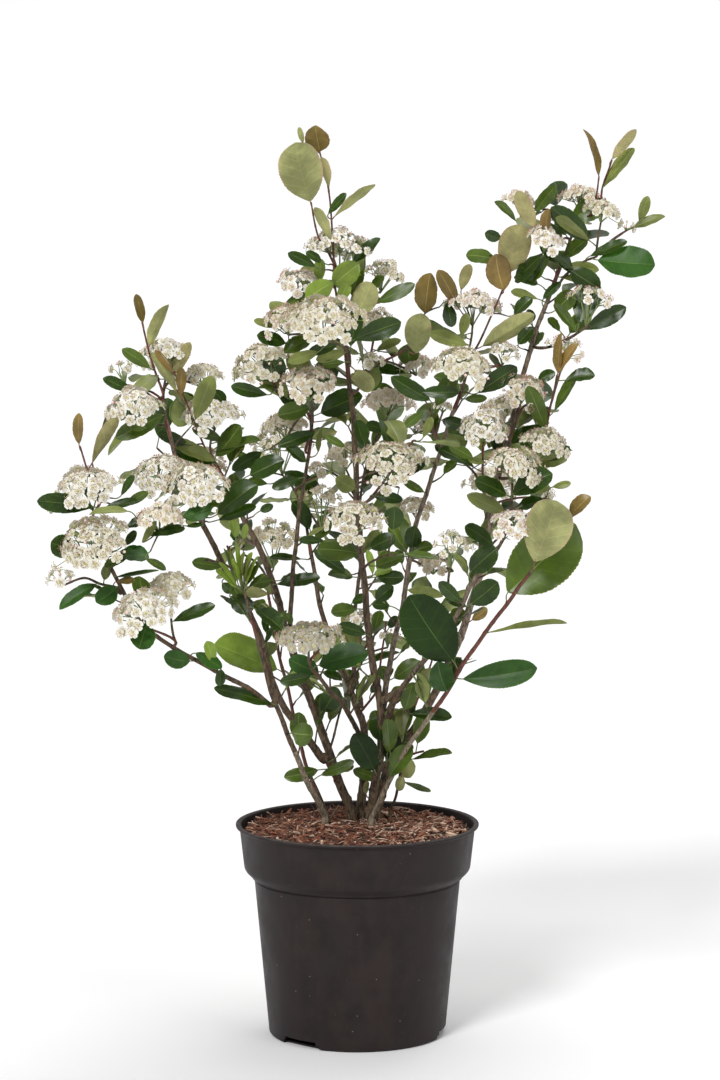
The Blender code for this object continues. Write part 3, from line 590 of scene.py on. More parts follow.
massShoots = {  # the limb, the height where the mass leaves it (None at the tip), and its shoots
    "foliage_left_low": ("bough_left_low", 0.415, [
        ("head", -0.206, -0.17, 0.455, 0.061), ("head", -0.183, -0.1, 0.469, 0.044)]),
    "foliage_far_left_low": ("bough_left_low", 0.47, [
        ("head", -0.291, -0.11, 0.48, 0.025)]),
    "foliage_far_left": ("bough_left_low", None, [
        ("head", -0.266, -0.095, 0.564, 0.066), ("head", -0.255, -0.16, 0.52, 0.067),
        ("leader", -0.277, -0.08, 0.622, 0.028), ("leader", -0.256, -0.075, 0.628, 0.045)]),
    "foliage_left": ("bough_left_front", 0.53, [
        ("head", -0.157, -0.135, 0.571, 0.06), ("head", -0.195, -0.075, 0.58, 0.054),
        ("head", -0.19, -0.155, 0.543, 0.042)]),
    "foliage_left_top": ("bough_left_front", None, [
        ("head", -0.198, 0.075, 0.689, 0.053), ("head", -0.226, -0.005, 0.641, 0.054),
        ("head", -0.16, 0.1, 0.666, 0.04), ("leader", -0.226, 0.07, 0.752, 0.038),
        ("leader", -0.24, 0.06, 0.69, 0.034)]),
    "foliage_left_middle": ("stem_left", None, [
        ("head", -0.149, 0.065, 0.629, 0.056), ("leader", -0.172, 0.05, 0.672, 0.032)]),
    "foliage_left_back": ("stem_left", 0.5, [
        ("head", -0.168, 0.165, 0.565, 0.056), ("tuft", -0.21, 0.13, 0.59, 0.048)]),
    "foliage_left_tuft": ("stem_left_front", None, [
        ("tuft", -0.128, -0.098, 0.512, 0.036), ("tuft", -0.104, -0.105, 0.5, 0.032),
        ("tuft", -0.15, -0.085, 0.496, 0.034)]),
    "foliage_left_hollow": ("stem_left_front", 0.372, [
        ("tuft", -0.096, -0.074, 0.408, 0.036)]),
    "foliage_inner_left": ("bough_left_inner", 0.592, [
        ("head", -0.096, 0.01, 0.683, 0.058), ("head", -0.075, 0.105, 0.614, 0.044)]),
    "foliage_inner": ("bough_left_inner", None, [
        ("head", -0.048, -0.025, 0.664, 0.054), ("tuft", -0.07, 0.06, 0.69, 0.045)]),
    "foliage_back_left": ("stem_middle", None, [
        ("head", -0.082, 0.19, 0.588, 0.064), ("head", -0.038, 0.11, 0.536, 0.042)]),
    "foliage_low_left_back": ("stem_left_back", None, [
        ("head", -0.09, 0.11, 0.495, 0.06), ("tuft", -0.12, 0.13, 0.478, 0.045)]),
    "foliage_front": ("bough_front", None, [
        ("head", -0.047, -0.185, 0.436, 0.059), ("tuft", -0.02, -0.15, 0.425, 0.045)]),
    "foliage_top_front": ("stem_centre", 0.69, [
        ("head", -0.033, -0.095, 0.737, 0.076), ("head", -0.07, -0.06, 0.73, 0.045)]),
    "foliage_top": ("stem_centre", None, [
        ("head", -0.018, 0.015, 0.8, 0.064), ("head", 0.027, 0.045, 0.774, 0.042),
        ("head", -0.06, 0.01, 0.765, 0.04), ("leader", -0.054, 0.0, 0.924, 0.044)]),
    "foliage_top_right": ("stem_centre", 0.655, [
        ("head", 0.018, 0.1, 0.722, 0.034), ("leader", 0.078, 0.085, 0.772, 0.046),
        ("head", 0.062, 0.125, 0.676, 0.034)]),
    "foliage_centre": ("stem_centre", 0.545, [
        ("head", 0.031, -0.1, 0.591, 0.06), ("tuft", 0.055, -0.06, 0.612, 0.045)]),
    "foliage_centre_front": ("stem_centre", 0.468, [
        ("head", -0.002, -0.15, 0.541, 0.052), ("tuft", 0.03, -0.12, 0.505, 0.05)]),
    "foliage_back": ("bough_back", None, [
        ("head", -0.012, 0.19, 0.574, 0.042), ("head", 0.032, 0.165, 0.634, 0.05),
        ("tuft", -0.04, 0.23, 0.56, 0.045), ("tuft", 0.045, 0.22, 0.54, 0.05)]),
    "foliage_inner_right": ("bough_right_inner", 0.47, [
        ("head", 0.062, 0.115, 0.527, 0.034), ("head", 0.08, 0.095, 0.47, 0.032)]),
    "foliage_inner_front": ("bough_right_inner", 0.604, [
        ("tuft", 0.075, -0.015, 0.635, 0.048), ("head", 0.06, 0.08, 0.617, 0.03)]),
    "foliage_low_middle": ("stem_middle", 0.352, [
        ("head", 0.004, 0.05, 0.418, 0.026), ("tuft", 0.026, 0.095, 0.405, 0.038)]),
    "foliage_foot": ("stem_centre", 0.258, [
        ("tuft", 0.023, -0.034, 0.296, 0.036), ("tuft", 0.036, -0.03, 0.288, 0.034)]),
    "foliage_foot_right": ("stem_foot", None, [
        ("tuft", 0.068, 0.004, 0.29, 0.038), ("tuft", 0.036, 0.052, 0.284, 0.034)]),
    "foliage_foot_left": ("stem_left", 0.262, [
        ("tuft", -0.034, -0.018, 0.292, 0.036), ("tuft", -0.04, 0.026, 0.29, 0.034)]),
    "foliage_right_inner": ("bough_right_inner", None, [
        ("head", 0.105, -0.03, 0.684, 0.056), ("head", 0.121, 0.08, 0.742, 0.056),
        ("head", 0.149, 0.025, 0.695, 0.03), ("leader", 0.151, 0.07, 0.806, 0.04)]),
    "foliage_right_top": ("stem_right", None, [
        ("head", 0.231, 0.075, 0.848, 0.046), ("head", 0.191, 0.035, 0.808, 0.036),
        ("head", 0.166, 0.1, 0.848, 0.028), ("leader", 0.246, 0.05, 0.922, 0.044)]),
    "foliage_right_leader": ("stem_right", 0.76, [
        ("leader", 0.311, 0.05, 0.832, 0.034), ("leaf", 0.298, 0.015, 0.792, 0.052)]),
    "foliage_right": ("stem_right", 0.7, [
        ("head", 0.237, 0.03, 0.747, 0.044), ("leaf", 0.272, 0.01, 0.744, 0.045)]),
    "foliage_right_back": ("stem_right", 0.59, [
        ("head", 0.168, 0.03, 0.656, 0.048), ("head", 0.156, 0.15, 0.624, 0.05),
        ("tuft", 0.195, 0.185, 0.59, 0.048)]),
    "foliage_right_outer": ("stem_right", 0.565, [
        ("head", 0.187, -0.01, 0.602, 0.049), ("head", 0.211, 0.04, 0.695, 0.04),
        ("leader", 0.206, 0.0, 0.704, 0.04)]),
    "foliage_right_middle": ("stem_right", 0.535, [
        ("head", 0.128, -0.03, 0.622, 0.047), ("tuft", 0.105, 0.115, 0.58, 0.045)]),
    "foliage_right_front": ("bough_right_low", None, [
        ("head", 0.154, -0.105, 0.59, 0.055), ("head", 0.152, -0.14, 0.536, 0.04),
        ("tuft", 0.19, -0.07, 0.555, 0.05)]),
    "foliage_low_right": ("bough_right_low", 0.452, [
        ("head", 0.094, -0.1, 0.513, 0.036)]),
    "foliage_far_right": ("stem_right_front", None, [
        ("leaf", 0.196, -0.16, 0.548, 0.062)]),
    "foliage_back_right": ("stem_right", 0.45, [
        ("head", 0.145, 0.2, 0.545, 0.054), ("tuft", 0.185, 0.165, 0.52, 0.05),
        ("tuft", 0.15, 0.215, 0.472, 0.048)]),
}

crownValues = {
    "extraHeads": [  # heads that show only in part: pixel, depth, width
        (372, 362, 0.06, 0.025), (410, 458, -0.01, 0.034), (317, 470, 0.15, 0.022),
        (443, 408, 0.02, 0.018), (388, 636, 0.06, 0.02), (122, 370, 0.05, 0.025),
        (604, 213, 0.04, 0.034), (627, 227, 0.05, 0.014), (548, 495, 0.0, 0.012)],
    "leaders": [  # young upright shoots: pixels from foot to tip, depth at the foot and at the tip
        ([(99, 502), (92, 484), (86, 467), (80, 446)], -0.1, -0.08),
        ([(101, 500), (97, 482), (92, 463)], -0.1, -0.076),
        ([(163, 394), (157, 376), (150, 355), (142, 322)], 0.03, 0.06),
        ([(158, 396), (148, 391), (134, 393)], 0.03, 0.05),
        ([(213, 470), (206, 451), (190, 412), (174, 371)], 0.06, 0.05),
        ([(337, 300), (334, 277), (333, 235), (328, 188), (320, 153)], 0.0, 0.0),
        ([(325, 246), (318, 236), (311, 202)], 0.0, -0.01),
        ([(404, 350), (418, 330), (425, 313)], 0.06, 0.078),
        ([(461, 372), (466, 362), (478, 345), (496, 305), (509, 272)], 0.05, 0.068),
        ([(590, 215), (596, 196), (599, 176)], 0.06, 0.052),
        ([(599, 205), (603, 187), (612, 160)], 0.06, 0.052),
        ([(598, 251), (612, 241), (626, 231), (636, 226)], 0.046, 0.052),
        ([(545, 432), (551, 404), (557, 375)], 0.02, 0.0),
        ([(414, 712), (420, 692), (429, 669), (436, 646)], 0.03, 0.02),
        ([(377, 690), (380, 668), (384, 641), (386, 622)], 0.04, 0.06)],
    "deadStubs": [  # broken shoots: pixels from foot to tip, depth, radius
        ([(347, 700), (353, 690), (357, 681)], 0.02, 0.0021),
        ([(328, 823), (333, 814), (339, 805)], 0.01, 0.0011),
        ([(327, 762), (321, 757)], 0.02, 0.0014),
        ([(384, 700), (394, 694), (404, 689)], -0.022, 0.0046),
        ([(400, 692), (404, 702), (408, 712)], -0.022, 0.0026),
        ([(331, 745), (340, 711), (347, 693), (361, 665), (372, 640)], 0.012, 0.0013)],
    "guided": {  # the first shoot of a mass that the photo shows: pixels and depths, radius at its foot
        "foliage_inner_left": ([(311, 424, 0.038), (298, 400, 0.035), (274, 384, 0.022)], 0.0016),
        "foliage_far_left_low": ([(118, 588, -0.125), (101, 584, -0.12), (84, 578, -0.114)], 0.0016),
        "foliage_top_front": ([(350, 366, -0.01), (347, 350, -0.026)], 0.0021),
        "foliage_right_leader": ([(566, 275, 0.055), (583, 262, 0.048), (596, 257, 0.042)], 0.0015)},
    "twigFoot": 0.0018,
    "twigTip": 0.0011,
    "leaderRadii": (0.0014, 0.0009),
    "extraRadii": (0.0013, 0.001),
    "twigSides": 6,
    "costs": (60.0, 900.0, 500.0),  # pixels that a metre to the back, one of depth and being too high count
    "ringStep": 0.003,
    "elbow": 0.003,
    "knee": (0.42, 0.06),  # along a shoot's heading and up, shares of its reach
    "firstFork": 0.3,  # where the second shoot of a mass leaves the first, a share of its length
    "forkStep": 0.18,  # to the next one
    "laterShare": 0.85,  # radius of the later shoots
    "headFoot": 0.3,  # a stalk reaches a head this share of its width under the middle
    "twigNode": 0.16,
    "nodeLength": 0.0016,
    "frontTilt": 0.38,
    "pixelReach": 9,
    "headTilts": [  # pixel of a head, how far it leans to the front and to the right
        (339, 244, 0.02, 0.0), (386, 270, 0.05, 0.15), (322, 503, 0.0, 0.0), (275, 540, 0.0, 0.0),
        (420, 568, 0.0, 0.0), (476, 303, 0.05, 0.0), (592, 302, 0.0, 0.0), (518, 199, 0.05, 0.0),
        (583, 194, 0.05, 0.0), (606, 213, 0.05, 0.1), (122, 367, 0.0, 0.0), (357, 624, 0.0, 0.0),
        (388, 636, 0.0, 0.0), (377, 314, 0.0, 0.0), (327, 318, 0.26, 0.0), (287, 320, 0.22, -0.1),
        (261, 366, 0.55, -0.45), (513, 463, 0.18, 0.0), (543, 449, 0.12, 0.1), (285, 425, 0.05, 0.0),
        (280, 446, 0.05, 0.0), (166, 350, 0.15, 0.0), (89, 486, 0.22, -0.1), (171, 582, 0.1, 0.1),
        (160, 520, 0.08, 0.25), (308, 640, 0.1, 0.0), (357, 520, 0.6, 0.0), (144, 604, 0.3, 0.0)],
    "ownHeads": [  # pixel of a head, length of its stalks, size and number of its flowers, its rise
        (308, 640, 0.3, 1.0, 1.0, 0.11), (475, 304, 0.4, 0.92, 1.0, 0.24),
        (327, 316, 0.3, 1.0, 1.0, 0.29), (453, 541, 0.75, 0.78, 0.7, 0.36),
        (592, 302, 0.6, 0.85, 0.6, 0.36), (565, 352, 0.6, 0.85, 0.6, 0.36),
        (500, 354, 0.45, 0.85, 0.7, 0.36), (122, 367, 0.6, 0.85, 0.7, 0.36),
        (322, 508, 0.75, 0.85, 0.7, 0.36), (275, 540, 0.5, 0.85, 0.8, 0.36),
        (420, 568, 0.6, 0.85, 0.7, 0.36), (388, 636, 0.6, 0.85, 0.7, 0.36),
        (280, 446, 0.5, 0.85, 0.8, 0.3), (339, 244, 0.42, 0.95, 0.8, 0.3),
        (386, 270, 0.45, 0.95, 0.8, 0.3)],
    "headRise": 0.36,  # of a head's width
}


def bentRoute(start, heading, end):
    # A shoot sets off along its heading and rises to its end.
    reach = np.linalg.norm(end - start)
    along, above = crownValues["knee"]
    knee = start + heading * (along * reach) + up * (above * reach)
    t = np.linspace(0, 1, max(4, int(reach / crownValues["ringStep"])))[:, None]
    return bend(start, knee, end, t)


def listedFor(middle, rows, usual):
    # What is listed for the head that shows near a pixel, or else the usual values.
    px, py = toPixels(middle)
    for x, y, *given in rows:
        if math.hypot(px - x, py - y) < crownValues["pixelReach"]:
            return given
    return usual


def headAxis(middle):
    # Heads lean outward and to the front, some of them more or less than the rest.
    tilt, lean = listedFor(middle, crownValues["headTilts"], (crownValues["frontTilt"], 0.0))
    return unit(up + np.array([0.9 * middle[0] + lean, 0.9 * middle[1] - tilt, 0.0]))


def headForm(middle):
    # How long a head's stalks are, the size and number of its flowers and how far it rises.
    return listedFor(middle, crownValues["ownHeads"],
                     (crownValues["headFoot"], 1.0, 1.0, crownValues["headRise"]))


def addShoot(kind, route, size, tip, footRadius, tipRadius, mass="extra"):
    # Where a shoot runs, what it carries and how large that is.
    shoots.append({"mass": mass, "kind": kind, "route": route, "size": size, "tip": tip,
                   "radii": taper(len(route), footRadius, tipRadius)})


def headFoot(tip, size):
    return tip - headAxis(tip) * (headForm(tip)[0] * size)


def growMasses():
    for name, (limbName, height, listed) in massShoots.items():
        stem = None
        guides, thick = crownValues["guided"].get(name, ([], crownValues["twigFoot"]))
        for number, (kind, x, y, z, size) in enumerate(listed):
            if kind == "leader":
                continue
            tip = np.array([x, y, z])
            if stem is None:
                start, heading = leaveLimb(limbs[limbName], height, tip)
                foot = start + heading * crownValues["elbow"]
            else:
                share = crownValues["firstFork"] + crownValues["forkStep"] * (number - 1)
                start, heading = pointAlong(stem, share)
                foot = start
            end = tip
            if kind == "head":
                end = headFoot(tip, size)
            elif kind == "leaf":
                end = tip - unit(tip - start) * size
            route = bentRoute(foot, heading, end)
            if stem is None:
                if guides:
                    ends = [] if kind == "leaf" else [end]
                    route = smoothRoute([foot, *(spot(*guide) for guide in guides), *ends], 6)
                inside = start - heading * (0.0015 if height is not None else 0.0008)
                route = np.concatenate([[inside, start], route])
                stem = route
            later = crownValues["laterShare"] * crownValues["twigFoot"]
            addShoot(kind, route, size, tip, thick if stem is route else later, crownValues["twigTip"], name)


def nearestWood(wood, px, py, depth=None, below=None):
    # The piece of wood seen nearest to a pixel, with the front one before the back one.
    backCost, depthCost, highCost = crownValues["costs"]
    seen = toPixels(wood)
    cost = np.hypot(seen[:, 0] - px, seen[:, 1] - py)
    cost = cost + (backCost * wood[:, 1] if depth is None else depthCost * np.abs(wood[:, 1] - depth))
    if below is not None:
        cost = cost + np.where(wood[:, 2] > below, highCost, 0.0)
    return wood[int(np.argmin(cost))]


def woodPoints(shoots):
    return np.concatenate([route for route, _ in limbs.values()] + [shoot["route"] for shoot in shoots])


def tracedRoute(start, pixels, depths, step):
    points = [spot(px, py, depth) for (px, py), depth in zip(pixels, depths)]
    route = smoothRoute([start, *points], 8)
    return evenly(route, np.zeros(len(route)), step)[0]


def growExtras():
    # Heads and young shoots that the photo shows beside those of the masses.
    wood = woodPoints(shoots)
    for px, py, depth, width in crownValues["extraHeads"]:
        middle = spot(px, py, depth)
        end = headFoot(middle, width)
        start = nearestWood(wood, px, py + 22, depth, below=end[2] - 0.012)
        addShoot("head", bentRoute(start, unit(end - start + up * 0.01), end), width, middle,
                 *crownValues["extraRadii"])
    for pixels, footDepth, tipDepth in crownValues["leaders"]:
        start = nearestWood(wood, *pixels[0], depth=footDepth)
        route = tracedRoute(start, pixels, np.linspace(footDepth, tipDepth, len(pixels)), 0.003)
        addShoot("leader", route, 0.03, route[-1], *crownValues["leaderRadii"])
    for pixels, depth, radius in crownValues["deadStubs"]:
        start = nearestWood(woodPoints([]), *pixels[0])
        route = tracedRoute(start, pixels, [depth] * len(pixels), 0.002)
        addShoot("dead", route, 0.0, route[-1], radius, radius * 0.8)


shoots = []
growMasses()
growExtras()
print(f"{len(shoots)} shoots grown")


def makeTwigs():
    # Each twig has a swelling at every node; young ones are red and broken ones grey.
    parts = []
    materialSlot = {"dead": 0, "head": 1, "leaf": 1, "tuft": 1, "leader": 2}
    for number, shoot in enumerate(shoots):
        seeded = random.Random(f"twig {number}")
        route, radii, places = evenly(shoot["route"], shoot["radii"], crownValues["ringStep"])
        swell = np.ones(len(places))
        place = seeded.uniform(0.006, 0.014)
        while place < places[-1]:
            swell += crownValues["twigNode"] * np.exp(-((places - place) / crownValues["nodeLength"]) ** 2)
            place += seeded.uniform(0.011, 0.018)
        around = np.repeat((radii * swell)[:, None], crownValues["twigSides"], axis=1)
        points, quads, caps = sweep(wander(route, places, 0.0003, seeded), around)
        slot = 2 if shoot["kind"] in ("head", "tuft") and number % 3 == 0 else materialSlot[shoot["kind"]]
        parts.append((points, [(quads, slot), (caps, slot)]))
    makePiece("twigs", parts, barkMaterials, "bark", foliageNodes)


makeTwigs()
print("twigs made")


# Leaves: obovate blades with sunk veins, folded along the midrib and arched

leafValues = {
    "outline": [(0.0, 0.06, 0.03), (0.03, 0.2, 0.08), (0.08, 0.4, 0.19), (0.15, 0.61, 0.36),
                (0.25, 0.82, 0.59), (0.36, 0.94, 0.8), (0.48, 0.995, 0.95), (0.58, 1.0, 1.0),
                (0.68, 0.965, 0.985), (0.78, 0.87, 0.91), (0.86, 0.73, 0.78), (0.92, 0.56, 0.61),
                (0.965, 0.33, 0.37), (1.0, 0.05, 0.05)],  # length, width with a round and a narrow base
    "strips": (-1.0, -0.9, -0.64, -0.34, -0.035, 0.035, 0.34, 0.64, 0.9, 1.0),
    "plainStrips": (-1.0, -0.8, -0.42, -0.04, 0.04, 0.42, 0.8, 1.0),
    "veins": 8,
    "plainRows": 13,
    "veinSweep": 0.22,
    "veinDepth": 0.0085,
    "veinWidth": 0.013,  # of the blade's length
    "thickness": 0.00035,
    "variants": 10,  # fine ones with veins for the photo's leaves, the round ones first
    "plainVariants": 6,  # plain ones for the rule's leaves
    "largeVariants": 4,  # with fine teeth for the largest, the round ones first
    "largeFrom": 27,  # pixels
    "teeth": 9,  # rows between two veins of a large leaf
    "widthShare": 0.62,
    "narrowShare": 0.36,
    "edgeShare": 0.2,  # for one seen from its edge
    "longestPetiole": 0.014,
    "petioleRadii": (0.0007, 0.0006),
    "leafRung": 0.015,
    "headLeaf": 0.046,
    "lean": (48, 78),
    "mostLeaves": 6,
    "fewestLeaves": 3,
}

plainFrom = leafValues["variants"]
largeFrom = plainFrom + leafValues["plainVariants"]
leafUpper, leafRib, leafUnder, leafUnderRib, leafEdge, leafVein = range(6)  # a leaf's material slots


def leafRows(variant):
    # The rows along a leaf: their beat within a vein's gap, their place and how far the edge is cut in.
    gap, wide, teeth = 1 / leafValues["veins"], leafValues["veinWidth"], leafValues["teeth"]
    if plainFrom <= variant < largeFrom:
        row = np.arange(leafValues["plainRows"])
        return np.ones(len(row)), np.linspace(0, 1, len(row)), np.where(row % 2 == 0, 1.0, 0.965)
    if variant >= largeFrom:
        offsets = np.array([0.0, *(wide + (gap - wide) * np.arange(teeth - 1) / (teeth - 1))])
        cuts = np.where(np.arange(teeth) % 2 == 0, 1.0, 0.97)
    else:
        offsets, cuts = np.array([0.0, wide, gap * 0.55]), np.array([1.0, 0.955, 0.985])
    row = np.arange(len(offsets) * leafValues["veins"] + 1)
    beat = row % len(offsets)
    return beat, row // len(offsets) * gap + offsets[beat], cuts[beat]


def leafShape(variant):
    # A closed thin blade in units of its own length and width; its chord is the Y axis.
    seeded = random.Random(f"leaf {variant}")
    beat, s, saw = leafRows(variant)
    strips = np.array(leafValues["plainStrips" if plainFrom <= variant < largeFrom else "strips"])
    rows, columns = len(s), len(strips)
    s = 0.6 * s[:, None] + 0.4 * (0.5 - 0.5 * np.cos(math.pi * s[:, None]))
    t = strips[None, :]
    along = s + leafValues["veinSweep"] * np.abs(t) ** 0.85 * np.sin(math.pi * s)
    share, broad, wedge = zip(*leafValues["outline"])
    isRound = variant < plainFrom // 2 or variant in (largeFrom, largeFrom + 1)
    mixed = seeded.uniform(0.75, 1.0) if isRound else seeded.uniform(0, 0.75)
    half = (np.interp(along, share, broad) * mixed + np.interp(along, share, wedge) * (1 - mixed)) * 0.5
    if variant >= largeFrom:
        t = np.where(np.abs(t) < 0.1, 0.5 * t, t)
    x = t * half * np.where(np.abs(t) > 0.99, saw[:, None], 1.0)
    arch, fold = seeded.uniform(0.0, 0.07), seeded.uniform(-0.04, 0.26)
    waves, phase = seeded.uniform(1.5, 3.0), seeded.uniform(0, math.tau)
    curl, twist, sway = seeded.uniform(0, 0.12), seeded.uniform(-0.5, 0.5), seeded.uniform(-0.06, 0.06)
    z = arch * 4 * along * (1 - along) + fold * np.abs(x) * 0.9
    z = z + 0.022 * seeded.uniform(0.3, 1.0) * np.sin(waves * math.tau * along + phase + t) * np.abs(t) ** 2
    z = z - curl * np.clip(along - 0.72, 0, 1) ** 2 * 4 - 0.1 * curl * np.abs(t) ** 3
    z = z - leafValues["veinDepth"] * (1 - np.abs(t) ** 3) * np.sin(math.pi * s)
    z = z - 0.01 * (np.abs(t) < 0.1) * np.sin(math.pi * s) ** 0.5
    turned = twist * (along - 0.4)
    x, z = x * np.cos(turned) - z * np.sin(turned) * 0.6, z * np.cos(turned) + x * np.sin(turned) * 0.6
    x = x + sway * 4 * along * (1 - along)
    top = np.stack([x, along, z], axis=-1)
    under = top[1:-1, 1:-1].reshape(-1, 3)
    number = np.arange(rows * columns).reshape(rows, columns)
    back = number.copy()
    back[1:-1, 1:-1] = rows * columns + np.arange(len(under)).reshape(rows - 2, columns - 2)
    # Both sides are cut along the same diagonals, so they stay apart.
    faces = []
    for grid, order in ((number, (0, 1, 2)), (back, (2, 1, 0))):
        corners = [grid[:-1, :-1], grid[:-1, 1:], grid[1:, 1:], grid[1:, :-1]]
        for cut in ((0, 1, 2), (0, 2, 3)):
            faces.append(np.stack([corners[cut[place]] for place in order], axis=-1).reshape(-1, 3))
    strip = np.tile(np.arange(columns - 1), rows - 1)
    isRib, isEdge = strip == (columns - 1) // 2, (strip == 0) | (strip == columns - 2)
    isVein = np.repeat(beat[:-1], columns - 1) == 0
    upper = np.select([isRib, isEdge, isVein], [leafRib, leafEdge, leafVein], leafUpper)
    lower = np.select([isRib, isEdge, isVein], [leafUnderRib, leafEdge, leafUnderRib], leafUnder)
    isUnder = np.arange(rows * columns + len(under)) >= rows * columns
    return (np.concatenate([top.reshape(-1, 3), under]), np.concatenate(faces),
            np.concatenate([upper, upper, lower, lower]), isUnder)


leafShapes = [leafShape(variant) for variant in range(largeFrom + leafValues["largeVariants"])]
leaves = []
petioles = []
twiglets = []


def addLeaf(start, kind, base, tip, face, width, variant):
    # face points out of the upper side and is made square to the leaf, which hangs from start on a
    # petiole, or on a twiglet too where it is far.
    forward = unit(tip - base)
    side = unit(np.cross(forward, face))
    leaves.append({"kind": kind, "base": base, "axes": (side, forward, np.cross(side, forward)),
                   "length": np.linalg.norm(tip - base), "width": width, "variant": variant})
    reach = np.linalg.norm(base - start)
    if reach > leafValues["longestPetiole"]:
        joint = base - unit(base - start) * (0.7 * leafValues["longestPetiole"]) - up * 0.001
        twiglets.append((start, (start + joint) / 2 + up * 0.0015, joint))
        start, reach = joint, np.linalg.norm(base - joint)
    petioles.append((start, base - forward * (0.45 * reach), base + forward * 0.002, kind))


# Leaves that the photo shows: pixel of the base, pixel of the tip, width in pixels, kind, and the depth
# where the nearest wood is not the one that carries it, then how far behind that wood the leaf hangs

